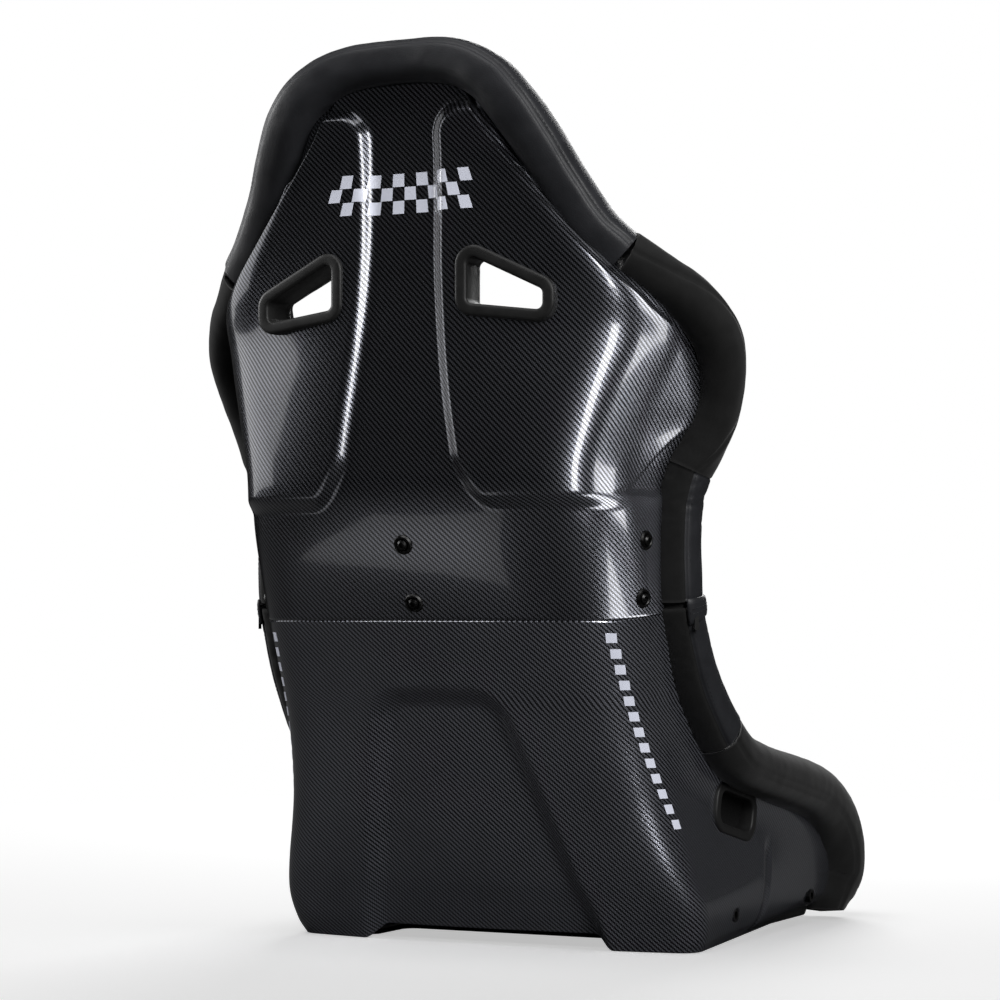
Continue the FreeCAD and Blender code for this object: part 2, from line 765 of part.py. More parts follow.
def build_base_pan():
    """Flat floor of the seat; a notch at the back clears the arch between the rear feet."""
    body = new_body("base_pan")
    front = "dims.sole_edge_half - dims.shell_thickness - 3"
    back = "dims.sole_corner_half - dims.shell_thickness - 3"
    notch = "dims.arch_half_width + 14"
    front_y = "12 - dims.front_reach / 2"
    back_y = "dims.front_reach / 2 - 16"
    notch_y = "dims.front_reach / 2 - 90"
    outline = [(f"-({front})", front_y), (front, front_y), (back, back_y), (notch, back_y), (notch, notch_y),
               (f"-({notch})", notch_y), (f"-({notch})", back_y), (f"-({back})", back_y)]
    blank = pad(body, "base_pan_blank", polygon_sketch(body, "base_pan_outline", "XY_Plane", outline), "dims.shell_thickness")
    round_edges(body, "base_pan_corners", blank, "14", along(Vector(0, 0, 1)))
    return body


NODES.append(build_base_pan())

# ---------------------------------------------------------------- joint hardware


def build_screw():
    body = new_body("screw_master")
    top = "dims.screw_length + dims.screw_head_depth"
    profile = [("0", "0"), ("dims.screw_radius", "0"), ("dims.screw_radius", "dims.screw_length"),
               ("dims.screw_head_radius", "dims.screw_length"),
               ("dims.screw_head_radius * 0.93", "dims.screw_length + dims.screw_head_depth * 0.55"),
               ("dims.screw_head_radius * 0.6", top), ("0", top)]
    revolve(body, "screw_turning", polygon_sketch(body, "screw_profile", "XZ_Plane", profile))
    socket = body.newObject("PartDesign::SubtractivePrism", "screw_socket")
    socket.Polygon = 6
    socket.setExpression("Circumradius", "dims.socket_radius")
    socket.setExpression("Height", "dims.socket_depth + 1")
    socket.setExpression("Placement.Base.z", "dims.screw_length + dims.screw_head_depth - dims.socket_depth")
    doc.recompute()
    return body


def build_washer():
    """Cup washer: a dished ring that the screw head sinks into."""
    body = new_body("washer_master")
    profile = [("dims.screw_radius + 0.3", "0"), ("dims.washer_radius - 0.6", "0"), ("dims.washer_radius", "0.8"),
               ("dims.washer_radius - 1.2", "dims.washer_depth"), ("dims.washer_radius - 2.8", "dims.washer_depth"),
               ("dims.washer_radius - dims.washer_rim", "1.2"), ("dims.screw_radius + 0.3", "1.2")]
    revolve(body, "washer_turning", polygon_sketch(body, "washer_profile", "XZ_Plane", profile))
    return body


def build_nut():
    body = new_body("nut_master")
    block = body.newObject("PartDesign::AdditivePrism", "nut_block")
    block.Polygon = 6
    block.setExpression("Circumradius", "dims.nut_radius")
    block.setExpression("Height", "dims.nut_depth")
    hole = body.newObject("PartDesign::SubtractiveCylinder", "nut_thread")
    hole.setExpression("Radius", "dims.screw_radius")
    hole.setExpression("Height", "dims.nut_depth")
    doc.recompute()
    return body


def build_insert():
    """Flanged bush with an M8 thread; the flange bears on the inside of the reinforcing plate."""
    body = new_body("insert_master")
    length, depth = "dims.insert_length", "dims.insert_flange_depth"
    profile = [("dims.insert_radius", "0"), ("dims.insert_flange", "0"), ("dims.insert_flange", depth),
               ("dims.insert_collar", depth), ("dims.insert_collar", length), ("dims.insert_radius", length)]
    revolve(body, "insert_turning", polygon_sketch(body, "insert_profile", "XZ_Plane", profile))
    return body


def build_backing_plate(name):
    """Steel strip behind the collar; it carries the nuts of one column of joint screws."""
    body = new_body(name)
    margin = "(dims.backing_length - dims.joint_high + dims.joint_low) / 2"
    outline = [("0", "0"), ("dims.backing_width", "0"), ("dims.backing_width", "dims.backing_length"),
               ("0", "dims.backing_length")]
    holes = [("dims.backing_width / 2", f"{margin}", "dims.screw_radius + 0.3"),
             ("dims.backing_width / 2", f"{margin} + {ROW_GAP}", "dims.screw_radius + 0.3")]
    plate = pad(body, name + "_blank", polygon_sketch(body, name + "_outline", "XY_Plane", outline, holes),
                "dims.backing_depth")
    round_edges(body, name + "_corners", plate, "dims.backing_width / 5", along(Vector(0, 0, 1)))
    return body


WASHER_SEAT = 0.15
HEAD_SEAT = 1.2 + WASHER_SEAT
PLATE_DEPTH = COLLAR_IN + 1.2 + size("backing_depth")
rear_low, rear_high = (outer_point(s, z) for s, z in REAR_SPOTS)
ROW_GAP = round((rear_high - rear_low).Length, 3)

screw, washer, nut, insert = build_screw(), build_washer(), build_nut(), build_insert()
group_feature("joint_screws", screw, [standing_on(s, z, size("screw_length") - HEAD_SEAT) for s, z in JOINT_SPOTS])
group_feature("joint_washers", washer, [standing_on(s, z, -WASHER_SEAT) for s, z in JOINT_SPOTS])


def backing_placement(spots):
    """Placement of a backing plate whose holes line up with two screws."""
    low, high = (outer_point(s, z) for s, z in spots)
    up = high - low
    up.normalize()
    out = outward(*spots[0]) + outward(*spots[1])
    out.normalize()
    across = up.cross(out)
    across.normalize()
    out = across.cross(up)
    margin = (size("backing_length") - size("joint_high") + size("joint_low")) / 2
    slack = (ROW_GAP - (high - low).Length) / 2
    corner = low - out * PLATE_DEPTH - across * (size("backing_width") / 2) - up * (margin + slack)
    return Placement(corner, Rotation(across, up, out, "ZXY"))


nut_places = []
for name, spots in (("rear", REAR_SPOTS), ("left", FLANK_SPOTS["left"]), ("right", FLANK_SPOTS["right"])):
    plate = build_backing_plate(f"{name}_backing_plate")
    plate.Placement = backing_placement(spots)
    NODES.append(plate)
    turn = plate.Placement.Rotation
    out = turn.multVec(Vector(0, 0, 1))
    for s, z in spots:
        nut_places.append(Placement(outer_point(s, z) - out * (PLATE_DEPTH + size("nut_depth") + 0.1), turn))
group_feature("joint_nuts", nut, nut_places)

# ---------------------------------------------------------------- side mounts


def build_mount_plate(name):
    """Steel strip bonded inside a flank, with a clearance hole for each insert."""
    body = new_body(name)
    length, width = "dims.mount_plate_length", "dims.mount_plate_width"
    outline = [("0", "0"), (length, "0"), (length, width), ("0", width)]
    first = f"({length} - dims.mount_spacing) / 2"
    holes = [(first, f"{width} / 2", "dims.insert_collar + 0.3"),
             (f"{first} + dims.mount_spacing", f"{width} / 2", "dims.insert_collar + 0.3")]
    plate = pad(body, name + "_blank", polygon_sketch(body, name + "_outline", "XY_Plane", outline, holes),
                "dims.mount_plate_depth")
    round_edges(body, name + "_corners", plate, f"{width} / 4", along(Vector(0, 0, 1)))
    return body


INSERT_INNER = size("mount_x") - size("insert_length")
INSERT_TURN = Rotation(Vector(0, 0, 1), Vector(1, 0, 0))
INSERT_PLACES = [Placement(Vector(INSERT_INNER, FEET - depth, size("mount_height")), INSERT_TURN)
                 for depth in MOUNT_DEPTHS]
inserts_left = group_feature("side_mount_inserts_left", insert, INSERT_PLACES)
mirror_node("side_mount_inserts_right", inserts_left)

mount_plate = build_mount_plate("side_mount_plate_left")
PLATE_X = INSERT_INNER + size("insert_flange_depth") + 0.1
PLATE_TURN = Rotation(Vector(0, -1, 0), Vector(0, 0, 1), Vector(-1, 0, 0), "ZXY")
mount_plate.Placement = Placement(Vector(PLATE_X + size("mount_plate_depth"), size("mount_plate_length") / 2,
                                         size("mount_height") - size("mount_plate_width") / 2), PLATE_TURN)
NODES.append(mount_plate)
mirror_node("side_mount_plate_right", mount_plate)

# ---------------------------------------------------------------- foam and pads on the driver's side

FOAM = (0.42, 0.56)
COVER = (0.64, 1.0)
SLOT_CUTS = both_sides(opening_prism(size("slot_border") + 2))
back_foam = pad_solid(-0.46, 0.46, 350, 800, *FOAM, columns=21, rows=25)
feature("back_foam", cut_all(back_foam, both_sides(opening_prism(size("slot_border") + 2))))
feature("lower_back_foam", pad_solid(-0.46, 0.46, 125, 318, *FOAM, columns=25, rows=17))
feature("headrest_pad", pad_solid(-0.44, 0.44, 704, 810, *COVER))
upper_pad = pad_solid(-0.47, 0.47, 560, 701, *COVER, columns=17)
feature("upper_back_pad", cut_all(upper_pad, SLOT_CUTS))
feature("back_pad", pad_solid(-0.42, 0.42, 430, 557, *COVER))
feature("lumbar_pad", pad_solid(-0.42, 0.42, 345, 427, *COVER))
feature("lower_back_pad", pad_solid(-0.42, 0.42, 64, 330, *COVER, columns=25, rows=23))
both_nodes("shoulder_bolster", pad_solid(0.5, 0.84, 448, 640, *COVER))
both_nodes("waist_bolster", pad_solid(0.46, 0.86, 345, 444, *COVER))
both_nodes("hip_bolster", pad_solid(0.46, 0.84, 182, 325, *COVER))

SIDE_VIEW = Rotation(Vector(0, -1, 0), Vector(0, 0, 1), Vector(-1, 0, 0), "ZXY")


def build_seat_block(name, corners, width):
    """Foam block drawn in side view and extruded evenly to both sides of the middle plane."""
    body = new_body(name)
    block = pad(body, name + "_block", polygon_sketch(body, name + "_profile", "XY_Plane", corners), width,
                midplane=True)
    body.Placement = Placement(Vector(0, FEET, 0), SIDE_VIEW)
    NODES.append(body)
    return body, block


cushion_front, cushion_base, cushion_top = "dims.cushion_front", "dims.cushion_base", "dims.cushion_top"
cushion, cushion_block = build_seat_block(
    "seat_cushion",
    [("dims.cushion_rear", cushion_base), (cushion_front + " - 8", cushion_base),
     (cushion_front, cushion_base + " + 30"), (cushion_front + " - 12", cushion_top + " + 14"),
     (cushion_front + " - 60", cushion_top + " + 24"), (cushion_front + " - 210", cushion_top + " + 4"),
     (cushion_front + " - 350", cushion_top + " - 6"), ("dims.cushion_rear", cushion_top)],
    "2 * dims.cushion_half_width")
round_edges(cushion, "cushion_rounding", cushion_block, "dims.soft_edge", along(Vector(0, 0, 1)))
build_seat_block(
    "seat_foam",
    [("dims.cushion_rear + 92", "dims.foam_base"), (cushion_front + " - 50", "dims.foam_base"),
     (cushion_front + " - 50", cushion_base + " - 1"), ("dims.cushion_rear + 92", cushion_base + " - 1")],
    "2 * dims.cushion_half_width")


def build_thigh_bolster(name):
    """Inner side of the thigh bolster: a block in plan, sloped down towards the knee."""
    body = new_body(name)
    inner, outer, front = "dims.bolster_inner", "dims.bolster_outer", "dims.bolster_front"
    plan = [(inner, "6"), (outer, "6"), (outer, front + " - 135"), (outer + " - 20", front + " - 95"),
            (outer + " - 20", front + " - 8"), (outer + " - 30", front), (inner, front)]
    block = pad(body, name + "_block", polygon_sketch(body, name + "_plan", "XY_Plane", plan), "dims.bolster_top")
    round_edges(body, name + "_rounding", block, "dims.soft_edge / 3", along(Vector(0, 0, 1)))
    wedge = [(front + " - 120", "dims.bolster_top"), (front + " - 20", "dims.bolster_top - 34"),
             (front + " + 5", "dims.bolster_top - 70"), (front + " + 5", "dims.bolster_top + 5"),
             (front + " - 120", "dims.bolster_top + 5")]
    slope = polygon_sketch(body, name + "_slope", "YZ_Plane", wedge)
    cut = pocket(body, name + "_cut", slope, "600", reverse=True)
    cut.Midplane = True
    doc.recompute()
    return body


thigh = build_thigh_bolster("thigh_bolster_right")
thigh.Placement = Placement(Vector(0, FEET, size("cushion_base")), Rotation(Vector(0, 0, 1), 180))
NODES.append(thigh)
mirror_node("thigh_bolster_left", thigh)

# ---------------------------------------------------------------- cover closures, strips and film


def build_block(name, width, height, depth):
    """Flat rectangular piece with rounded corners, lying in its local XY plane."""
    body = new_body(name)
    outline = [("0", "0"), (width, "0"), (width, height), ("0", height)]
    plate = pad(body, name + "_blank", polygon_sketch(body, name + "_outline", "XY_Plane", outline), depth)
    round_edges(body, name + "_corners", plate, f"{width} / 5", along(Vector(0, 0, 1)))
    return body


def on_rim(turn, drop, clearance):
    """Placement against the left rim at the joint; turn is how far round to the front it sits, in degrees."""
    x, depth, z, radius = HIP_LINE[0]
    angle = math.radians(turn)
    out = Vector(math.cos(angle), -math.sin(angle), 0)
    across = Vector(0, 0, 1).cross(out)
    place = Vector(x, FEET - depth, z - drop) + out * (radius + clearance)
    return Placement(place, Rotation(across, Vector(0, 0, 1), out, "ZXY"))


def closure(name, width, height, depth, turn, drop, clearance):
    """Left and right copies of a small piece lying on the rim."""
    body = build_block(name + "_left", f"dims.{width}", f"dims.{height}", f"dims.{depth}")
    centring = Placement(Vector(-size(width) / 2, -size(height) / 2, 0), Rotation())
    body.Placement = on_rim(turn, drop, clearance).multiply(centring)
    NODES.append(body)
    mirror_node(name + "_right", body)


closure("cover_tab", "tab_width", "tab_height", "tab_depth", 28, 4, 1.5)
closure("tab_hook", "hook_width", "hook_height", "tab_depth", -30, 6, 1.5)

STRIP = (0.585, 0.615)
for name, z_low, z_high in (("upper_fastener_strip", 520, 550), ("lower_fastener_strip", 250, 280)):
    feature(name, pad_solid(-0.3, 0.3, z_low, z_high, *STRIP, columns=7, rows=4))


def film_patch(s_low, s_high, z_low, z_high):
    """Film on the outer face between two section parameters and two heights."""
    grids = [[[offset_point(s, z, -lift) for z in spread(z_low, z_high, 4)] for s in spread(s_low, s_high, 4)]
             for lift in (0.05, 0.05 + size("film"))]
    return skin_solid(*grids)


CHECK = 13
CHECK_ROWS = 3
CHECK_COLUMNS = 12
CHECK_CENTRE = 730


def check_patches():
    """Plain check pattern across the head: every second square of a small board."""
    patches = []
    for row in range(CHECK_ROWS):
        for column in range(row % 2, CHECK_COLUMNS, 2):
            x = (column - CHECK_COLUMNS / 2) * CHECK
            z = CHECK_CENTRE + (row - CHECK_ROWS / 2) * CHECK
            patches.append(film_patch(s_on_panel(x + 0.3, z), s_on_panel(x + CHECK - 0.3, z),
                                      z + 0.3, z + CHECK - 0.3))
    return patches


DASH_COUNT = 13
DASH_LOW = 122
DASH_PITCH = 15
DASH_HEIGHT = 9
DASH_WIDTH = 0.026
DASH_DEPTHS = (-125, -37)


def dash_patches():
    """Row of plain dashes that follows the rear edge of the left flank."""
    patches = []
    for i in range(DASH_COUNT):
        z = DASH_LOW + i * DASH_PITCH
        share = i / (DASH_COUNT - 1)
        s = s_on_flank(z, DASH_DEPTHS[1] + (DASH_DEPTHS[0] - DASH_DEPTHS[1]) * share)
        patches.append(film_patch(s, s + DASH_WIDTH, z, z + DASH_HEIGHT))
    return patches


feature("rear_check_film", Part.makeCompound(check_patches()))
both_nodes("side_dash_film", Part.makeCompound(dash_patches()))

# ---------------------------------------------------------------- checks and files

doc.recompute()
for item in doc.Objects:
    if {"Invalid", "Error"} & set(item.State):
        raise RuntimeError(f"{item.Label} failed: {item.State}")
if len({node.Label for node in NODES}) != len(NODES):
    raise RuntimeError("two sub-parts share a label")
for node in NODES:
    if node.Shape.isNull() or not node.Shape.isValid():
        raise RuntimeError(f"{node.Label} has no valid shape")
    node.Shape.exportStep(f"parts/{node.Label}.step")
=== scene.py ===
"""Looks of a fixed-back racing seat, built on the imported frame: laminate skins, padded rim, cushions and trim.

Row frame: +X is the driver's left, the driver faces -Y, +Z is up.  Shapes are worked out in millimetres with
depth measured forwards from the rear feet, and turned into metres of the row frame when a mesh is made.
"""

import math

import bmesh
import bpy
import numpy as np
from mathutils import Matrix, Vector, noise


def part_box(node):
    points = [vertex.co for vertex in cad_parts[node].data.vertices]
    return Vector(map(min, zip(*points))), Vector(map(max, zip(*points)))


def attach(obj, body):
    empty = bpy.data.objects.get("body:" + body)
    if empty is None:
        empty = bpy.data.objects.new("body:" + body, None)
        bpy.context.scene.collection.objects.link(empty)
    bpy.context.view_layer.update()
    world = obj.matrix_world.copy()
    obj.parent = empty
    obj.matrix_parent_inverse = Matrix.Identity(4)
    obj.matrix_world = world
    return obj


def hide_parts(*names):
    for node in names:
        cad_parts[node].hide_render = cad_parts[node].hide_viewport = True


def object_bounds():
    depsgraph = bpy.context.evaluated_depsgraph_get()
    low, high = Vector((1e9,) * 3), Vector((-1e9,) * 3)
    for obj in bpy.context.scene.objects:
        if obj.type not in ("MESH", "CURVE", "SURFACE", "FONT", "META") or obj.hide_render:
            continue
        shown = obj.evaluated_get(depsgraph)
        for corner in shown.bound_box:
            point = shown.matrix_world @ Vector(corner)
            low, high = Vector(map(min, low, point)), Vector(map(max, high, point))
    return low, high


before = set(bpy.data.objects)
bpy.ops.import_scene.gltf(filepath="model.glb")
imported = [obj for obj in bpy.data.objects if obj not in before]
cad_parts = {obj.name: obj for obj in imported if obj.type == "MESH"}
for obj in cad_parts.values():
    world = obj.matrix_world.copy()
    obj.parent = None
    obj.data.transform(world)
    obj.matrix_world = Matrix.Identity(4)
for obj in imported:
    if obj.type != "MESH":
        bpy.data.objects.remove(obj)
CAD_BOX = [list(corner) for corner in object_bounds()]
MM = 0.001

# ---------------------------------------------------------------- sizes, in millimetres

SOLE_TO_PAN = 6
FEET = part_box("base_pan")[1].y / MM + SOLE_TO_PAN      # row Y of the rear feet
THICKNESS = 3.5
SEAM, SEAM_GAP, SEAM_RISE = 323, 1.6, 0.1
SKIN_EDGE = 0.8               # rounding of the laminate's cut edges

# Lines of the shell's outer face: height, middle of the back, corner of back and flank, rounding of the
# corner, free edge of the flank.  Each row is half a horizontal section.
STATIONS = (
    (0, -26, 221, -5, 22, 174, 400),
    (14, -32, 227, -14, 26, 224, 385),
    (40, -43, 231, -28, 32, 229, 378),
    (80, -61, 223, -51, 44, 231, 352),
    (120, -78, 213, -67, 54, 231, 296),
    (150, -90, 205, -77, 56, 229, 180),
    (170, -98, 200, -85, 56, 225, 84),
    (210, -115, 193, -99, 56, 217, 16),
    (260, -136, 190, -118, 56, 213, -28),
    (323, -166, 193, -138, 56, 212, -64),
    (410, -200, 198, -160, 54, 212, -72),
    (460, -207, 189, -174, 50, 216, -74),
    (515, -207, 197, -166, 46, 241, -68),
    (550, -205, 208, -158, 46, 250, -62),
    (590, -202, 224, -142, 46, 255, -64),
    (620, -199, 226, -152, 44, 248, -98),
    (650, -197, 206, -172, 36, 217, -142),
    (704, -194, 160, -187, 24, 165, -170),
    (750, -194, 131, -194, 20, 136, -178),
    (800, -198, 109, -207, 18, 112, -192),
    (845, -204, 93, -212, 18, 96, -198),
)
PANEL_END, CORNER_END = 0.5, 0.72      # the section parameter on the back, round the corner, along the flank

# Padded rim: distance from the middle plane, depth, height and radius along its centre line.
CROWN_LINE = ((0, -201, 855, 21), (58, -204, 850, 22), (95, -206, 832, 23), (118, -202, 806, 24),
              (139, -187, 770, 24), (159, -170, 729, 24), (182, -157, 690, 24), (203, -143, 667, 24))
SIDE_LINE = ((203, -143, 667, 24), (230, -115, 645, 23), (253, -90, 624, 23), (267, -68, 596, 23),
             (268, -53, 568, 22), (259, -41, 530, 22), (242, -42, 492, 23), (229, -46, 468, 24),
             (221, -48, 440, 24), (218, -48, 405, 24), (218, -47, 366, 24), (218, -43, 334, 24),
             (219, -29, 300, 24), (220, -13, 270, 25), (223, 10, 240, 25), (226, 36, 213, 26),
             (230, 70, 188, 26), (232, 125, 173, 26), (233, 200, 159, 27), (231, 280, 143, 29),
             (226, 338, 120, 33), (221, 374, 90, 37), (217, 388, 58, 38), (213, 384, 40, 37),
             (212, 378, 24, 33), (212, 376, 8, 25))
# Heights where one cover of the side roll ends and the next begins.
WAIST_TOP, JOINT_HEIGHT, THIGH_TOP = 469, 341, 213

# ---------------------------------------------------------------- smooth lines and sections


def smooth(value):
    value = np.clip(value, 0, 1)
    return value * value * (3 - 2 * value)


def fair(x, knots, values):
    """Smooth curve through the knots that never overshoots them, for arrays of x."""
    knots, values = np.array(knots, float), np.array(values, float)
    slopes = np.diff(values) / np.diff(knots)
    product = slopes[:-1] * slopes[1:]
    total = np.where(product > 0, slopes[:-1] + slopes[1:], 1)
    inner = np.where(product > 0, 2 * product / total, 0)
    tangents = np.concatenate((slopes[:1], inner, slopes[-1:]))
    x = np.clip(x, knots[0], knots[-1])
    i = np.clip(np.searchsorted(knots, x, side="right") - 1, 0, len(slopes) - 1)
    span = knots[i + 1] - knots[i]
    t = (x - knots[i]) / span
    rise = values[i] * (1 + 2 * t) * (1 - t) ** 2 + values[i + 1] * t * t * (3 - 2 * t)
    return rise + span * (tangents[i] * t * (1 - t) ** 2 - tangents[i + 1] * t * t * (1 - t))


HEIGHTS = [row[0] for row in STATIONS]
LEVELS = np.arange(-60, 921, 1.5)
REACH = fair(LEVELS, (0, 60, 200, 420, 500), (2.5, 6, 15, 12, 14))       # how far the lines are evened out


def evened(values):
    """Line through the stations at every level, smoothed so that reflections run over it without kinks."""
    inside = np.clip(LEVELS, HEIGHTS[0], HEIGHTS[-1])
    line = 2 * fair(inside, HEIGHTS, values) - fair(2 * inside - LEVELS, HEIGHTS, values)
    weights = np.exp(-0.5 * ((LEVELS[:, None] - LEVELS[None, :]) / REACH[:, None]) ** 2)
    return weights @ line / weights.sum(axis=1)


LINES = [evened([row[i] for row in STATIONS]) for i in range(1, 7)]


def lines_at(z):
    """Section lines at the heights z, with depths turned into row Y."""
    middle, corner_x, corner, rounding, edge_x, edge = (np.interp(z, LEVELS, line) for line in LINES)
    return FEET - middle, corner_x, FEET - corner, rounding, edge_x, FEET - edge


def half_section(s, middle, corner_x, corner_y, rounding, edge_x, edge_y):
    """Points (x, y) at the parameters s of half a horizontal section."""
    panel_x = corner_x - rounding
    bow = (corner_y - middle) / corner_x ** 2
    flat_x = panel_x * s / PANEL_END
    flat_y = middle + bow * flat_x ** 2
    start_y = middle + bow * panel_x ** 2
    knee_y = start_y + 2 * bow * panel_x * rounding
    run_x, run_y = edge_x - corner_x, edge_y - knee_y
    run = np.hypot(run_x, run_y)
    reach = np.minimum(rounding, 0.8 * run) / run
    end_x, end_y = corner_x + run_x * reach, knee_y + run_y * reach
    t = np.clip((s - PANEL_END) / (CORNER_END - PANEL_END), 0, 1)
    bend_x = (1 - t) ** 2 * panel_x + 2 * t * (1 - t) * corner_x + t * t * end_x
    bend_y = (1 - t) ** 2 * start_y + 2 * t * (1 - t) * knee_y + t * t * end_y
    t = (s - CORNER_END) / (1 - CORNER_END)
    on_flank, on_panel = s > CORNER_END, s <= PANEL_END
    x = np.where(on_panel, flat_x, np.where(on_flank, end_x + (edge_x - end_x) * t, bend_x))
    y = np.where(on_panel, flat_y, np.where(on_flank, end_y + (edge_y - end_y) * t, bend_y))
    return x, y


def corner_distance(a, b, radius):
    """Distance inside two borders that meet in a corner of the given radius."""
    return radius - np.hypot(np.clip(radius - a, 0, None), np.clip(radius - b, 0, None))


LOBE_RISE, LOBE_BOTTOM, LOBE_TOP, LOBE_CORNER = 11, 434, 808, 26


def lobe(x, z):
    """Height of the raised lobes: they flank a central channel that widens downwards."""
    channel = fair(z, (425, 450, 480, 700, 800), (96, 74, 60, 38, 38))
    rim = fair(z, (600, 704, 750, 800), (400, 400, 128, 96))
    inner = corner_distance(x - channel, LOBE_TOP - z, LOBE_CORNER)
    both = corner_distance(rim - x, inner, LOBE_CORNER * 0.6)
    bottom = smooth((z - LOBE_BOTTOM + 8) / 16)
    return LOBE_RISE * smooth((both + 8) / 17) * bottom


RECESS_DEPTH, RECESS_TOP, RECESS_HALF, RECESS_SPREAD, RECESS_CORNER = 18, 249, 63, 0.26, 24


def recess(x, z):
    """Depth of the scooped panel at the bottom of the back."""
    half = RECESS_HALF + RECESS_SPREAD * (RECESS_TOP - z)
    inside = corner_distance(half - x, RECESS_TOP - z, RECESS_CORNER)
    return RECESS_DEPTH * smooth((inside + 12) / 24) * (0.65 + 0.35 * np.clip(z / RECESS_TOP, 0, 1))


FLANGE_DROP = 4.5
POD_HEIGHTS = (434, 446, 458, 474, 492, 512, 550, 575, 590, 605, 620, 680, 704, 730, 750, 790, 840)
POD_SHARES = (0.60, 0.70, 0.79, 0.87, 0.94, 1.02, 1.02, 0.92, 0.80, 0.70, 0.655, 0.6, 0.59, 0.56, 0.52,
              0.45, 0.4)


def flange(s, z):
    """How far the outer face steps down outside the lobes, where the padded roll is fixed."""
    outside = smooth((np.abs(s) - fair(z, POD_HEIGHTS, POD_SHARES)) / 0.035)
    return FLANGE_DROP * outside * smooth((z - LOBE_BOTTOM - 4) / 12)


LIP_HEIGHT, LIP_SLOPE = 14, 0.035
ARCH_RISE, ARCH_HALF = 15, 126


def edge_lift(x, y, z):
    """The flank's lip climbs forwards, and the back arches up between the rear feet."""
    weight = np.where(z < LIP_HEIGHT, z / LIP_HEIGHT, np.clip(1 - (z - LIP_HEIGHT) / 136, 0, 1))
    arch = ARCH_RISE * (1 - smooth((x - ARCH_HALF + 12) / 24))
    return LIP_SLOPE * np.clip(FEET - y, 0, None) * weight + arch * np.clip(1 - z / 60, 0, 1)


FOLD_DEPTH, FOLD_WIDTH, FOLD_TOP = 5.0, 2.8, 102


def fold_line(z):
    """Depth of the crease in the flank at height z."""
    return 150 + 0.33 * (np.minimum(z, FOLD_TOP + 10) - 11)


def flank_fold(y, z):
    """Narrow crease pressed into the flank behind the thigh, closing to a point at its top."""
    away = FEET - y - fold_line(z)
    strength = smooth(z / 12) * smooth((FOLD_TOP - z) / 30)
    width = FOLD_WIDTH * (0.55 + 0.45 * smooth((FOLD_TOP - z) / 50))
    return strength * (FOLD_DEPTH * np.exp(-(away / width) ** 2) - 0.9 * np.exp(-(away / (3 * width)) ** 2))


def outer(s, z):
    """Points of the shell's outer face; s runs from -1 (right edge) to 1 (left edge)."""
    s, z = np.broadcast_arrays(np.asarray(s, float), np.asarray(z, float))
    x, y = half_section(np.abs(s), *lines_at(z))
    y = y + lobe(x, z) * (1 - smooth((np.abs(s) - 0.6) / 0.2)) - recess(x, z)
    lift = edge_lift(x, y, z)
    x = x - flank_fold(y, z) * smooth((np.abs(s) - CORNER_END) / 0.05)
    step = flange(s, z)
    turned = smooth((np.abs(s) - PANEL_END) / (CORNER_END - PANEL_END))
    x = x - step * turned
    y = y - step * (1 - turned)
    return np.stack((np.copysign(x, s), y, z + lift), -1)


def unit(vectors):
    return vectors / np.maximum(np.linalg.norm(vectors, axis=-1, keepdims=True), 1e-9)


def outward(s, z):
    """Unit normals of the outer face."""
    along = outer(s + 0.004, z) - outer(s - 0.004, z)
    up = outer(s, z + 1.5) - outer(s, np.maximum(z - 1.5, 0))
    return unit(np.cross(up, along))


def cabin(s, z):
    """Points of the face that the driver touches."""
    s, z = np.broadcast_arrays(np.asarray(s, float), np.asarray(z, float))
    middle, corner_x, corner_y, rounding, edge_x, edge_y = lines_at(z)
    depth = fair(z, (330, 480, 640, 760, 840), (50, 44, 34, 42, 46))
    side = fair(z, (150, 600, 704, 840), (40, 38, 22, 16))
    x, y = half_section(np.abs(s), middle - depth, corner_x - side, corner_y - depth, rounding * 0.9,
                        edge_x - side, edge_y)
    return np.stack((np.copysign(x, s), y, z + edge_lift(x, y, z)), -1)


def between(s, z, fraction):
    """Points between the shell's outer face (0) and the driver's side (1)."""
    fraction = np.asarray(fraction)[..., None]
    return outer(s, z) * (1 - fraction) + cabin(s, z) * fraction


def s_on_flank(z, depth):
    """Section parameter where the flank at height z is a given depth ahead of the rear feet."""
    shares = np.linspace(PANEL_END, 1, 400)
    depths = FEET - outer(shares, np.full(400, float(z)))[:, 1]
    return float(np.interp(depth, depths, shares))


def s_on_panel(x, z):
    _, corner_x, _, rounding, _, _ = lines_at(np.array(float(z)))
    return float(PANEL_END * x / (corner_x - rounding))


# ---------------------------------------------------------------- mesh helpers

MIRROR = np.array((-1.0, 1.0, 1.0))
SIDES = (("left", 1), ("right", -1))


def new_object(name, points, faces, uvs=None, sharp=None):
    """Object from millimetre points; uvs is one (u, v) in millimetres per point."""
    mesh = bpy.data.meshes.new(name)
    mesh.from_pydata((np.asarray(points, float) * MM).tolist(), [], faces)
    if uvs is not None:
        layer = mesh.uv_layers.new(name="cloth")
        corners = np.zeros(len(mesh.loops), np.int32)
        mesh.loops.foreach_get("vertex_index", corners)
        layer.data.foreach_set("uv", np.asarray(uvs, np.float32)[corners].ravel())
    mesh.validate()
    obj = bpy.data.objects.new(name, mesh)
    bpy.context.scene.collection.objects.link(obj)
    mesh.shade_smooth()
    if sharp:
        mesh.set_sharp_from_angle(angle=math.radians(sharp))
    return obj


def recalculate(obj):
    """Turns every face outwards."""
    work = bmesh.new()
    work.from_mesh(obj.data)
    bmesh.ops.recalc_face_normals(work, faces=work.faces)
    work.to_mesh(obj.data)
    work.free()


def place(obj, material, slot, nodes):
    obj.data.materials.clear()
    obj.data.materials.append(material)
    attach(obj, "root")
    if nodes:
        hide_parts(*nodes)
    return obj


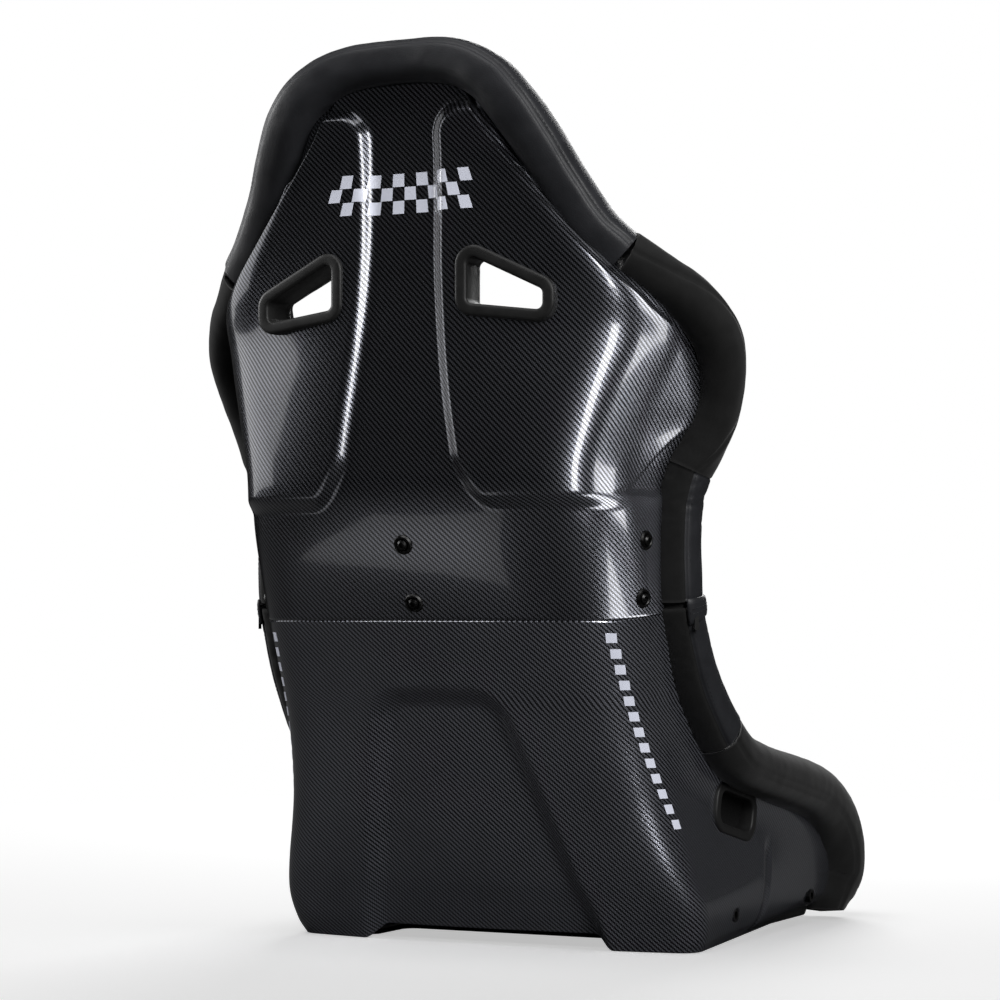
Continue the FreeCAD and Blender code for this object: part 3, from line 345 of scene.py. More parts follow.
def grid_faces(columns, rows, start=0, wrap=False, flip=False):
    """Quads of a grid stored column by column; wrap joins the last row back to the first."""
    faces = []
    for i in range(columns - 1):
        for j in range(rows if wrap else rows - 1):
            k = (j + 1) % rows
            here, there = start + i * rows, start + (i + 1) * rows
            quad = (here + j, there + j, there + k, here + k)
            faces.append(quad[::-1] if flip else quad)
    return faces


def rim_loop(columns, rows):
    """Indices of a grid's border, once round."""
    bottom = [i * rows for i in range(columns)]
    right = [(columns - 1) * rows + j for j in range(1, rows)]
    top = [i * rows + rows - 1 for i in range(columns - 2, -1, -1)]
    left = list(range(rows - 2, 0, -1))
    return bottom + right + top + left


def bridge(first, second):
    """Quads between two closed loops of indices."""
    count = len(first)
    return [(first[k], second[k], second[(k + 1) % count], first[(k + 1) % count]) for k in range(count)]


def skin(name, outside, inside, uvs, edge=SKIN_EDGE, sharp=None):
    """Closed sheet between two grids of points, with softly rounded cut edges."""
    columns, rows = outside.shape[:2]
    count = columns * rows
    loop = rim_loop(columns, rows)
    flat_out, flat_in = outside.reshape(-1, 3), inside.reshape(-1, 3)
    i, j = np.divmod(np.array(loop), rows)
    inner_i, inner_j = np.clip(i, 1, columns - 2), np.clip(j, 1, rows - 2)
    away = unit(outside[i, j] - outside[inner_i, inner_j])
    through = unit(inside[i, j] - outside[i, j])
    ring_out = outside[i, j] + (away + through) * edge
    ring_in = inside[i, j] + (away - through) * edge
    points = np.concatenate((flat_out, flat_in, ring_out, ring_in))
    ring_a = list(range(2 * count, 2 * count + len(loop)))
    ring_b = list(range(2 * count + len(loop), 2 * count + 2 * len(loop)))
    faces = grid_faces(columns, rows) + grid_faces(columns, rows, start=count, flip=True)
    faces += bridge(ring_a, loop) + bridge(ring_b, ring_a) + bridge([k + count for k in loop], ring_b)
    flat_uv = uvs.reshape(-1, 2)
    all_uvs = np.concatenate((flat_uv, flat_uv, flat_uv[loop], flat_uv[loop]))
    return new_object(name, points, faces, all_uvs, sharp)


def path(line, step):
    """Smooth curve through the rows of a line, sampled evenly; every column is carried along."""
    knots = np.array(line, float)
    steps = np.linalg.norm(np.diff(knots[:, :3], axis=0), axis=1)
    along = np.concatenate(([0], np.cumsum(np.sqrt(steps) * np.sqrt(steps.mean()))))
    fine = np.linspace(0, along[-1], 600)
    padded = np.vstack((2 * knots[0] - knots[1], knots, 2 * knots[-1] - knots[-2]))
    stops = np.concatenate(([2 * along[0] - along[1]], along, [2 * along[-1] - along[-2]]))
    i = np.clip(np.searchsorted(along, fine, side="right") - 1, 0, len(knots) - 2)
    t = ((fine - along[i]) / (along[i + 1] - along[i]))[:, None]
    span = (along[i + 1] - along[i])[:, None]
    p0, p1, p2, p3 = (padded[i + k] for k in range(4))
    m1 = (p2 - p0) / (stops[i + 2] - stops[i])[:, None] * span
    m2 = (p3 - p1) / (stops[i + 3] - stops[i + 1])[:, None] * span
    curve = (p1 * (1 + 2 * t) * (1 - t) ** 2 + p2 * t * t * (3 - 2 * t)
             + m1 * t * (1 - t) ** 2 - m2 * t * t * (1 - t))
    run = np.concatenate(([0], np.cumsum(np.linalg.norm(np.diff(curve[:, :3], axis=0), axis=1))))
    even = np.linspace(0, run[-1], max(int(run[-1] / step), 2))
    return np.stack([np.interp(even, run, curve[:, c]) for c in range(curve.shape[1])], -1), even


# ---------------------------------------------------------------- materials


class Look:
    """Small builder for a Principled material."""

    def __init__(self, name):
        self.material = bpy.data.materials.new(name)
        self.material.use_nodes = True
        self.tree = self.material.node_tree
        self.shader = self.tree.nodes["Principled BSDF"]

    def node(self, kind, **settings):
        made = self.tree.nodes.new(kind)
        for key, value in settings.items():
            setattr(made, key, value)
        return made

    def link(self, source, target):
        self.tree.links.new(source, target)

    def feed(self, target, value):
        if hasattr(value, "is_output"):
            self.link(value, target)
        else:
            target.default_value = value

    def math(self, operation, a, b=0.0, c=0.0):
        made = self.node("ShaderNodeMath", operation=operation)
        for slot, value in zip(made.inputs, (a, b, c)):
            self.feed(slot, value)
        return made.outputs[0]

    def mix(self, share, a, b):
        made = self.node("ShaderNodeMix", data_type="RGBA")
        self.feed(made.inputs["Factor"], share)
        self.feed(made.inputs["A"], a)
        self.feed(made.inputs["B"], b)
        return made.outputs["Result"]

    def place_mm(self):
        """Object position in millimetres."""
        position = self.node("ShaderNodeTexCoord").outputs["Object"]
        scaled = self.node("ShaderNodeVectorMath", operation="SCALE")
        self.link(position, scaled.inputs[0])
        scaled.inputs["Scale"].default_value = 1 / MM
        return scaled.outputs[0]

    def noise(self, vector, size, detail=3.0, roughness=0.55):
        made = self.node("ShaderNodeTexNoise")
        self.link(vector, made.inputs["Vector"])
        made.inputs["Scale"].default_value = 1 / size
        made.inputs["Detail"].default_value = detail
        made.inputs["Roughness"].default_value = roughness
        return made.outputs["Fac"]

    def cells(self, vector, size, feature="F1"):
        made = self.node("ShaderNodeTexVoronoi", feature=feature)
        self.link(vector, made.inputs["Vector"])
        made.inputs["Scale"].default_value = 1 / size
        return made.outputs["Distance"]

    def remap(self, value, low, high, to_low, to_high):
        made = self.node("ShaderNodeMapRange")
        for slot, number in zip(made.inputs, (value, low, high, to_low, to_high)):
            self.feed(slot, number)
        return made.outputs["Result"]

    def bump(self, height, distance_mm, strength=1.0, under=None):
        made = self.node("ShaderNodeBump")
        made.inputs["Strength"].default_value = strength
        made.inputs["Distance"].default_value = distance_mm * MM
        self.link(height, made.inputs["Height"])
        if under is not None:
            self.link(under, made.inputs["Normal"])
        return made.outputs["Normal"]

    def set(self, **inputs):
        for key, value in inputs.items():
            self.feed(self.shader.inputs[key.replace("_", " ")], value)
        return self


def grey(value, tint=(1, 1, 1)):
    return tuple(value * t for t in tint) + (1.0,)


COOL = (0.95, 0.98, 1.12)
TOW = 1.36                    # width of one tow of the printed twill


def carbon_look():
    """Glossy printed twill: diagonal ribs of light and dark tows under a clear coat."""
    look = Look("carbon_twill")
    split = look.node("ShaderNodeSeparateXYZ")
    look.link(look.node("ShaderNodeUVMap", uv_map="cloth").outputs["UV"], split.inputs[0])
    across = look.math("DIVIDE", split.outputs["X"], TOW)
    up = look.math("DIVIDE", split.outputs["Y"], TOW)
    column, row = look.math("FLOOR", across), look.math("FLOOR", up)
    phase = look.math("FLOORED_MODULO", look.math("ADD", column, row), 4.0)
    warp_on_top = look.math("LESS_THAN", phase, 1.5)
    tow_x = look.math("ABSOLUTE", look.math("SUBTRACT", look.math("FRACT", across), 0.5))
    tow_y = look.math("ABSOLUTE", look.math("SUBTRACT", look.math("FRACT", up), 0.5))
    round_x, round_y = (look.math("SUBTRACT", 1.0, look.math("POWER", look.math("MULTIPLY", t, 2.0), 4.0))
                        for t in (tow_x, tow_y))
    relief = look.math("ADD", look.math("MULTIPLY", round_x, warp_on_top),
                       look.math("MULTIPLY", round_y, look.math("SUBTRACT", 1.0, warp_on_top)))
    cloudy = look.noise(look.place_mm(), 90.0, 2.0)
    tone = look.math("MULTIPLY", relief, look.remap(cloudy, 0.3, 0.7, 0.85, 1.1))
    light = look.mix(tone, grey(0.05, COOL), grey(0.26, COOL))
    dark = look.mix(tone, grey(0.006, COOL), grey(0.02, COOL))
    colour = look.mix(warp_on_top, dark, light)
    smear = look.noise(look.place_mm(), 35.0, 4.0)
    look.set(Base_Color=colour, Metallic=0.85, Roughness=look.remap(warp_on_top, 0, 1, 0.22, 0.27),
             Coat_Weight=0.9, Coat_Roughness=look.remap(smear, 0.3, 0.7, 0.05, 0.11), Coat_IOR=1.5)
    look.set(Normal=look.bump(relief, 0.03, 0.35))
    return look.material


def leather_look(name, tone, roughness):
    look = Look(name)
    place_mm = look.place_mm()
    grain = look.cells(place_mm, 1.15, "F1")
    pores = look.noise(place_mm, 0.7, 2.0)
    broad = look.noise(place_mm, 26.0, 4.0)
    colour = look.mix(look.remap(broad, 0.3, 0.7, 0, 1), grey(tone * 0.85, COOL), grey(tone * 1.15, COOL))
    rough = look.math("ADD", look.remap(broad, 0.3, 0.7, roughness - 0.05, roughness + 0.06),
                      look.math("MULTIPLY", grain, 0.12))
    look.set(Base_Color=colour, Roughness=rough, Specular_IOR_Level=0.45)
    soft = look.bump(broad, 0.9, 0.25)
    fine = look.bump(look.math("ADD", grain, look.math("MULTIPLY", pores, 0.5)), 0.16, 0.55, soft)
    look.set(Normal=fine)
    return look.material


def suede_look(name, tone):
    """Napped cloth: matt, faintly mottled, brighter at grazing angles."""
    look = Look(name)
    place_mm = look.place_mm()
    nap = look.noise(place_mm, 0.8, 3.0, 0.7)
    brushed = look.noise(place_mm, 18.0, 3.0)
    shade = look.math("ADD", look.math("MULTIPLY", nap, 0.5), look.math("MULTIPLY", brushed, 0.5))
    colour = look.mix(look.remap(shade, 0.35, 0.65, 0, 1), grey(tone * 0.75), grey(tone * 1.3))
    look.set(Base_Color=colour, Roughness=look.remap(nap, 0.3, 0.7, 0.85, 0.97), Specular_IOR_Level=0.2,
             Sheen_Weight=0.35, Sheen_Roughness=0.45, Sheen_Tint=grey(0.6))
    look.set(Normal=look.bump(nap, 0.25, 0.5))
    return look.material


def moulded_look():
    look = Look("moulded_black")
    place_mm = look.place_mm()
    texture = look.noise(place_mm, 0.6, 2.0)
    broad = look.noise(place_mm, 14.0, 3.0)
    look.set(Base_Color=look.mix(broad, grey(0.012), grey(0.022)), Specular_IOR_Level=0.5,
             Roughness=look.remap(broad, 0.3, 0.7, 0.42, 0.55))
    look.set(Normal=look.bump(texture, 0.08, 0.4))
    return look.material


def steel_look():
    """Black-zinc hardware, worn a little brighter in patches."""
    look = Look("dark_steel")
    place_mm = look.place_mm()
    wear = look.noise(place_mm, 3.5, 4.0)
    look.set(Base_Color=look.mix(look.remap(wear, 0.45, 0.7, 0, 1), grey(0.03), grey(0.10)), Metallic=0.95,
             Roughness=look.remap(wear, 0.3, 0.7, 0.28, 0.45))
    look.set(Normal=look.bump(look.noise(place_mm, 0.5, 2.0), 0.03, 0.4))
    return look.material


def film_look():
    look = Look("printed_film")
    broad = look.noise(look.place_mm(), 20.0, 3.0)
    look.set(Base_Color=look.mix(broad, grey(0.8, COOL), grey(0.88, COOL)), Coat_Weight=0.6,
             Roughness=look.remap(broad, 0.3, 0.7, 0.35, 0.45))
    return look.material


def foam_look():
    look = Look("foam_cloth")
    place_mm = look.place_mm()
    knit = look.cells(place_mm, 1.4, "SMOOTH_F1")
    look.set(Base_Color=look.mix(knit, grey(0.008), grey(0.018)), Roughness=0.95, Specular_IOR_Level=0.2)
    look.set(Normal=look.bump(knit, 0.3, 0.5))
    return look.material


CARBON = carbon_look()
LEATHER = leather_look("smooth_leather", 0.030, 0.42)
SUEDE = suede_look("black_suede", 0.016)
THREAD = leather_look("thread", 0.03, 0.6)
MOULDED = moulded_look()
STEEL = steel_look()
FILM = film_look()
FOAM = foam_look()

# ---------------------------------------------------------------- belt slots

SLOT_YAW = math.radians(6)
SLOT_CORNERS = ((73, 621), (148, 612), (148, 631), (73, 667))
SLOT_ROUND, SLOT_TUNNEL = 6, 30
LAP_SIZE, LAP_TILT, LAP_ROUND, LAP_TUNNEL = (76, 32), math.radians(-13), 11, 15
LAP_DEPTH, LAP_HEIGHT = 97, 131


def rounded(corners, radius, per_corner=9):
    """Convex polygon, run anticlockwise, with round corners of one radius."""
    corners = np.array(corners, float)
    points = []
    for i, corner in enumerate(corners):
        before = unit(corners[i - 1] - corner)
        after = unit(corners[(i + 1) % len(corners)] - corner)
        half = math.acos(np.clip(np.dot(before, after), -1, 1)) / 2
        centre = corner + unit(before + after) * radius / math.sin(half)
        start = corner + before * radius / math.tan(half) - centre
        turn = math.pi - 2 * half
        for k in range(per_corner):
            angle = turn * k / (per_corner - 1)
            c, s = math.cos(angle), math.sin(angle)
            points.append(centre + np.array((start[0] * c - start[1] * s, start[0] * s + start[1] * c)))
    return np.array(points)


def grown(corners, amount):
    """Polygon pushed outwards by an amount, kept to the same corners."""
    corners = np.array(corners, float)
    moved = []
    for i, corner in enumerate(corners):
        before = unit(corners[i - 1] - corner)
        after = unit(corners[(i + 1) % len(corners)] - corner)
        half = math.acos(np.clip(np.dot(before, after), -1, 1)) / 2
        moved.append(corner - unit(before + after) * amount / math.sin(half))
    return np.array(moved)


class Plane:
    """Flat local frame: origin, two directions in the plane and the direction that points outwards."""

    def __init__(self, origin, right, up, out):
        self.origin, self.right, self.up, self.out = (np.array(v, float) for v in (origin, right, up, out))

    def point(self, a, b, h):
        a, b, h = np.broadcast_arrays(a, b, h)
        return self.origin + a[..., None] * self.right + b[..., None] * self.up + h[..., None] * self.out


def shoulder_plane():
    right = np.array((math.cos(SLOT_YAW), -math.sin(SLOT_YAW), 0))
    out = np.array((math.sin(SLOT_YAW), math.cos(SLOT_YAW), 0))
    x, z = np.meshgrid(np.linspace(61, 160, 9), np.linspace(612, 667, 5))
    shares = np.array([s_on_panel(a, b) for a, b in zip(x.ravel(), z.ravel())])
    highest = (outer(shares, z.ravel()) @ out).max()
    return Plane((0, (highest + 0.2) / math.cos(SLOT_YAW), 0), right, (0, 0, 1), out)


def lap_plane():
    centre = outer(s_on_flank(LAP_HEIGHT, LAP_DEPTH), LAP_HEIGHT)
    ahead = unit(outer(s_on_flank(LAP_HEIGHT, LAP_DEPTH + 40), LAP_HEIGHT) - centre)
    out = unit(np.cross(np.array((0, 0, 1.0)), ahead))
    up = np.array((0, 0, 1.0))
    c, s = math.cos(LAP_TILT), math.sin(LAP_TILT)
    return Plane(centre + out * 1.4, ahead * c + up * s, up * c - ahead * s, out)


SHOULDER_PLANE, LAP_PLANE = shoulder_plane(), lap_plane()
LAP_CORNERS = ((-38, -16), (38, -16), (38, 16), (-38, 16))
# Section of a slot frame: distance outside the opening and height over the plane.
BORDER = ((12.0, -9.0), (12.0, 0.6), (11.5, 1.9), (10.3, 2.8), (8.4, 3.1), (3.4, 3.1), (1.5, 2.7), (0.4, 1.7),
          (0.0, 0.2))


def slot_frame(name, plane, corners, radius, border, tunnel, side, node, flip=False):
    """Moulded ring round a belt opening: a rounded border and a tunnel that goes through the seat."""
    profile = list(border) + [(0.0, -tunnel * 0.5), (0.0, -tunnel), (2.4, -tunnel), (2.5, -2.0)]
    rings = []
    for spread, height in profile:
        outline = rounded(grown(corners, spread), radius + spread)
        rings.append(plane.point(outline[:, 0], outline[:, 1], height))
    rings.append(rings[0])
    points = np.array(rings) * (MIRROR if side < 0 else 1)
    count = points.shape[1]
    faces = grid_faces(len(rings) - 1, count, wrap=True, flip=(side < 0) != flip)
    last = (len(rings) - 2) * count
    closing = [(last + j, j, (j + 1) % count, last + (j + 1) % count) for j in range(count)]
    if (side < 0) != flip:
        closing = [quad[::-1] for quad in closing]
    obj = new_object(name, points[:-1].reshape(-1, 3), faces + closing, sharp=50)
    return place(obj, MOULDED, "trim", [node])


LAP_BORDER = tuple((spread * 0.83, min(height * 0.8, 2.5)) for spread, height in BORDER)
BEZEL_GAP = SLOT_TUNNEL + 4.5
for label, side in SIDES:
    slot_frame(f"shoulder_frame_{label}", SHOULDER_PLANE, SLOT_CORNERS, SLOT_ROUND, BORDER, SLOT_TUNNEL, side,
               f"shoulder_slot_frame_{label}")
    slot_frame(f"lap_frame_{label}", LAP_PLANE, LAP_CORNERS, LAP_ROUND, LAP_BORDER, LAP_TUNNEL, side,
               f"lap_slot_frame_{label}")


def prism(plane, outline, low, high, side):
    """Closed prism through an outline of a plane, for cutting."""
    count = len(outline)
    points = np.concatenate([plane.point(outline[:, 0], outline[:, 1], h) for h in (low, high)])
    points = points * (MIRROR if side < 0 else 1)
    faces = [(k, (k + 1) % count, count + (k + 1) % count, count + k) for k in range(count)]
    faces += [tuple(range(count - 1, -1, -1)), tuple(range(count, 2 * count))]
    if side < 0:
        faces = [face[::-1] for face in faces]
    return points, faces


def slot_prisms(plane, corners, growth, radius, low, high):
    """Left and right prisms through a slot that is grown by a clearance."""
    outline = rounded(grown(corners, growth), radius)
    return [prism(plane, outline, low, high, side) for _, side in SIDES]


def cut(obj, prisms):
    """Takes the prisms out of the mesh."""
    points, faces = [], []
    for some_points, some_faces in prisms:
        faces += [tuple(k + len(points) for k in face) for face in some_faces]
        points += some_points.tolist()
    cutter = new_object("cutter", points, faces)
    recalculate(cutter)
    recalculate(obj)
    change = obj.modifiers.new("cut", "BOOLEAN")
    change.operation = "DIFFERENCE"
    change.solver = "EXACT"
    change.object = cutter
    apply_all(obj)
    bpy.data.objects.remove(cutter)


def apply_all(obj):
    """Replaces the mesh by the result of its modifiers."""
    graph = bpy.context.evaluated_depsgraph_get()
    mesh = bpy.data.meshes.new_from_object(obj.evaluated_get(graph))
    obj.modifiers.clear()
    obj.data = mesh


# ---------------------------------------------------------------- laminate skins

RIM_LINES = (CROWN_LINE, SIDE_LINE)
SHARE_HEIGHTS = np.linspace(0, 840, 29)
TUCK_HEIGHTS, TUCK = (0, 420, 620, 820), (0.02, 0.03, 0.05, 0.05)      # reach of the laminate inside the roll
LARGEST_SHARE = 1.06


def share_before_rim():
    """Share of the half section, from the middle, at which the outer face meets the rolls."""
    shares = np.linspace(PANEL_END, LARGEST_SHARE, 101)[:, None]
    points = outer(shares, SHARE_HEIGHTS[None, :])
    nearest = np.full(points.shape[:2], np.inf)
    for line in RIM_LINES:
        rows = np.array([(x, FEET - depth, z, radius) for x, depth, z, radius in line], float)
        for start, end in zip(rows, rows[1:]):
            run = end - start
            t = np.clip((points - start[:3]) @ run[:3] / (run[:3] @ run[:3]), 0, 1)
            away = np.linalg.norm(points - start[:3] - t[..., None] * run[:3], axis=-1)
            nearest = np.minimum(nearest, away - start[3] - run[3] * t)
    clear = np.cumprod(nearest > 0, axis=0).sum(axis=0)
    return shares[np.maximum(clear - 1, 0), 0]


LAMINATE_SHARES = share_before_rim()


def share_at(z):
    """Share of the half section that carbon covers, with its edge tucked well inside the padded roll."""
    reach = fair(z, SHARE_HEIGHTS, LAMINATE_SHARES) + fair(z, TUCK_HEIGHTS, TUCK)
    return np.minimum(reach, fair(z, (300, 400), (1, LARGEST_SHARE)))


def seam_at(s):
    return SEAM + SEAM_RISE * np.clip(FEET + 130 - outer(s, SEAM)[..., 1], 0, None)


CROWN_SPRING, CROWN_TOP, CROWN_HALF, CROWN_TUCK = 790, 837, 115, 4


def crown_at(s):
    """Height of the laminate's top edge, just inside the padded crown."""
    x = np.minimum(np.abs(outer(s * share_at(CROWN_SPRING), CROWN_SPRING)[..., 0]), CROWN_HALF)
    drop = np.clip(1 - (x / CROWN_HALF) ** 3.2, 0, 1)
    return CROWN_SPRING + (CROWN_TOP - CROWN_SPRING) * np.sqrt(drop) - CROWN_TUCK


CREASE_PLACE, CREASE_BAND, CREASE_COLUMNS = 0.86, 0.03, 13
BEND_PLACE = 0.7              # column where the corner of back and flank ends


def column_places(columns):
    """Places of the grid's columns from -1 to 1, denser where the crease runs."""
    near = np.linspace(-CREASE_BAND, CREASE_BAND, CREASE_COLUMNS)
    even = np.linspace(-1, 1, columns)
    even = even[np.abs(np.abs(even) - CREASE_PLACE) > CREASE_BAND * 1.2]
    return np.sort(np.concatenate((even, near + CREASE_PLACE, near - CREASE_PLACE)))


def follow_crease(place, z):
    """Section parameter of a column: the column at the crease's place stays on the crease at every height."""
    levels = np.linspace(0, SEAM + 60, 60)
    crease = np.array([s_on_flank(min(level, FOLD_TOP + 40), fold_line(level)) for level in levels])
    last = share_at(levels)
    crease = np.minimum(crease, CORNER_END + (last - CORNER_END) * CREASE_PLACE)
    crease = np.interp(z, levels, crease)
    last = share_at(z)
    size = np.abs(place)
    on_back = size * CORNER_END / BEND_PLACE
    behind = CORNER_END + (size - BEND_PLACE) / (CREASE_PLACE - BEND_PLACE) * (crease - CORNER_END)
    ahead = crease + (size - CREASE_PLACE) / (1 - CREASE_PLACE) * (last - crease)
    share = np.where(size < BEND_PLACE, on_back, np.where(size < CREASE_PLACE, behind, ahead))
    return np.copysign(share, place)


def laminate(name, low, high, columns, rows, creased=False, outset=0.0):
    """Skin of the shell between two edge functions of s; outset lifts it off the section's face."""
    places = column_places(columns) if creased else np.linspace(-1, 1, columns)
    columns = len(places)
    s = places[:, None] * np.ones((1, rows))
    t = np.ones((columns, 1)) * np.linspace(0, 1, rows)[None, :]
    z = low(s) * (1 - t) + high(s) * t
    s = follow_crease(s, z) if creased else s * share_at(z)
    normal = outward(s, z)
    outside = outer(s, z) + normal * outset
    inside = outside - normal * THICKNESS
    steps = np.linalg.norm(np.diff(outside, axis=0), axis=2)
    run = np.vstack((np.zeros((1, rows)), np.cumsum(steps, axis=0)))
    run = run[columns // 2][None, :] - run
    return skin(name, outside, inside, np.stack((run, outside[..., 2]), -1))


def disc(centre, direction, radius, low, high, side):
    """Cutting cylinder square to a direction."""
    direction = unit(np.array(direction, float))
    right = unit(np.cross(direction, (0.3, 0.2, 1.0)))
    plane = Plane(centre, right, np.cross(direction, right), direction)
    ring = [(radius * math.cos(a), radius * math.sin(a)) for a in np.linspace(0, 2 * math.pi, 33)[:-1]]
    return prism(plane, np.array(ring), low, high, side)


GRID = ((301, 241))
upper = laminate("upper_skin", lambda s: seam_at(s) + SEAM_GAP / 2, crown_at, *GRID, outset=0.5)
lower = laminate("lower_skin", lambda s: s * 0.0, lambda s: seam_at(s) - SEAM_GAP / 2, *GRID, creased=True)

MOUNT_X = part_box("side_mount_inserts_left")[1].x / MM
MOUNT_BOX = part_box("side_mount_inserts_left")
INSERT_FLANGE, INSERT_COLLAR, MOUNT_HEIGHT = 10.5, 7.0, 30
MOUNT_YS = [(MOUNT_BOX[0].y / MM + INSERT_FLANGE), (MOUNT_BOX[1].y / MM - INSERT_FLANGE)]
FRAME_WALL = 3.2              # room for the slot frames' tunnels
shoulder_cuts = slot_prisms(SHOULDER_PLANE, SLOT_CORNERS, FRAME_WALL, 8, -40, 20)
lap_cuts = slot_prisms(LAP_PLANE, LAP_CORNERS, FRAME_WALL, 13, -25, 20)
mount_cuts = [disc((MOUNT_X, y, MOUNT_HEIGHT), (1, 0, 0), INSERT_COLLAR + 0.2, -12, 8, side)
              for y in MOUNT_YS for _, side in SIDES]
cut(upper, shoulder_cuts)
cut(lower, lap_cuts + mount_cuts)
place(upper, CARBON, "carbon_shell", ["upper_shell"])
place(lower, CARBON, "carbon_shell", ["lower_shell"])

# ---------------------------------------------------------------- padded rim

ROUND = 64                    # points round a roll
SAMPLE = 3.0                  # distance between the rings of a roll
END_PINCH = 1.0               # how far a cover is drawn in where it meets the next one
NECK_INSET, NECK_LENGTH = 4.5, 6.0
STRIP_SHARE = 0.42            # how far round from the seam the cloth strip on the shell's side goes


def lumps(points, size, seed):
    """Smooth random values, one per point."""
    return np.array([noise.noise(Vector((p[0] / size + seed, p[1] / size, p[2] / size))) for p in points])


class Rim:
    """Centre line of a padded roll, with its radius and the directions across it at every sample."""

    def __init__(self, line, reference, crown=False):
        samples, self.run = path([(x, FEET - depth, z, radius) for x, depth, z, radius in line], SAMPLE)
        self.centre, self.radius = samples[:, :3], samples[:, 3]
        self.ahead = unit(np.gradient(self.centre, axis=0))
        reference = np.array(reference, float)
        first = unit(reference - self.ahead * (self.ahead @ reference)[:, None])
        second = np.cross(first, self.ahead)
        self.first, self.second = (np.cross(self.ahead, first), first) if crown else (first, second)

    def part(self, high, low):
        """The stretch between two heights of a line that runs downwards."""
        start, end = np.interp((-high, -low), -self.centre[:, 2], self.run)
        stops = np.linspace(start, end, max(int((end - start) / SAMPLE), 4))
        piece = object.__new__(Rim)
        piece.run = stops - start
        piece.radius = np.interp(stops, self.run, self.radius)
        for name in ("centre", "ahead", "first", "second"):
            rows = getattr(self, name)
            values = np.stack([np.interp(stops, self.run, rows[:, c]) for c in range(3)], -1)
            setattr(piece, name, values if name == "centre" else unit(values))
        return piece

    def across(self, turn, squareness):
        """Direction from the centre at a turn from outwards towards the shell, one per sample."""
        c, s = np.cos(turn), np.sin(turn)
        power = 2 / squareness
        a = np.sign(c) * np.abs(c) ** power
        b = np.sign(s) * np.abs(s) ** power
        return a[..., None] * self.first[:, None] + b[..., None] * self.second[:, None], np.hypot(a, b)


def roll(name, rim, seam, material, slot, node, side=1, squareness=2.4, groove=1.9, folds=0.0,
         fold_zone=(0, 0), neck=False, dome=False, strip=None, seed=0.0):
    """Padded tube with a sewn crease along it; seam is the crease's turn in degrees at every sample."""
    count = len(rim.run)
    seam = np.radians(np.broadcast_to(seam, count))[:, None]
    angles = np.linspace(0, 2 * math.pi, ROUND, endpoint=False)[None, :] + seam
    direction, stretch = rim.across(angles, squareness)
    gap = (angles - seam + math.pi) % (2 * math.pi) - math.pi
    radius = rim.radius[:, None]
    crease = groove * np.exp(-(gap * radius / 1.5) ** 2)
    puff = 0.7 * np.exp(-((gap * radius + 5) / 4) ** 2) + 0.4 * np.exp(-((gap * radius - 5) / 4) ** 2)
    near_end = np.minimum(rim.run, rim.run[-1] - rim.run)[:, None]
    pinch = END_PINCH * np.exp(-(near_end / 1.6) ** 2) * np.where(gap < 0, 1, 0.2)
    size = radius - (crease - puff) / stretch - pinch
    flat = (rim.centre[:, None] + direction * size[..., None]).reshape(-1, 3)
    swell = 0.55 * lumps(flat, 34.0, seed) + 0.25 * lumps(flat, 13.0, seed + 9)
    if folds:
        ridge = lumps(flat * np.array((0.35, 0.35, 1.0)), 9.0, seed + 4)
        low, high = fold_zone
        near = np.interp(flat[:, 2], (low - 30, low, high, high + 30), (0, 1, 1, 0))
        swell = swell - folds * near * np.exp(-(ridge / 0.09) ** 2)
    swell = swell * np.clip(near_end / 6, 0, 1).repeat(ROUND, axis=1).ravel()
    rings = (flat + unit(flat - rim.centre.repeat(ROUND, axis=0)) * swell[:, None]).reshape(count, ROUND, 3)
    first_cap, last_cap = rim.centre[0], rim.centre[-1] + rim.ahead[-1] * (2 if dome else 0)
    if neck:
        core = rings[0] + (rim.centre[0] - rings[0]) * NECK_INSET / radius[0]
        first_cap = first_cap - rim.ahead[0] * NECK_LENGTH
        rings = np.concatenate(((core - rim.ahead[0] * NECK_LENGTH)[None], core[None], rings))
        count += 2
    points = np.vstack((rings.reshape(-1, 3), first_cap, last_cap)) * (MIRROR if side < 0 else 1)
    faces = grid_faces(count, ROUND, wrap=True, flip=side > 0)
    base = (count - 1) * ROUND
    for k in range(ROUND):
        n = (k + 1) % ROUND
        caps = (count * ROUND, k, n), (count * ROUND + 1, base + n, base + k)
        faces += [cap[::-1] if side < 0 else cap for cap in caps]
    obj = new_object(name, points, faces)
    place(obj, material, slot, [node])
    if strip:
        add_strip(obj, strip, count)
    return obj


def add_strip(obj, material, count):
    """Cloth strip from the sewn crease round to the shell."""
    obj.data.materials.append(material)
    for index in range((count - 1) * ROUND):
        if index % ROUND < ROUND * STRIP_SHARE:
            obj.data.polygons[index].material_index = 1


def rim_route(rim, turn, side, squareness=2.4, lift=0.2, skip=2):
    """Line on a roll's surface at a turn in degrees."""
    turns = np.radians(np.broadcast_to(turn, len(rim.run)))[:, None]
    direction, _ = rim.across(turns, squareness)
    points = rim.centre + direction[:, 0] * (rim.radius[:, None] + lift)
    return (points * (MIRROR if side < 0 else 1))[skip:-skip]


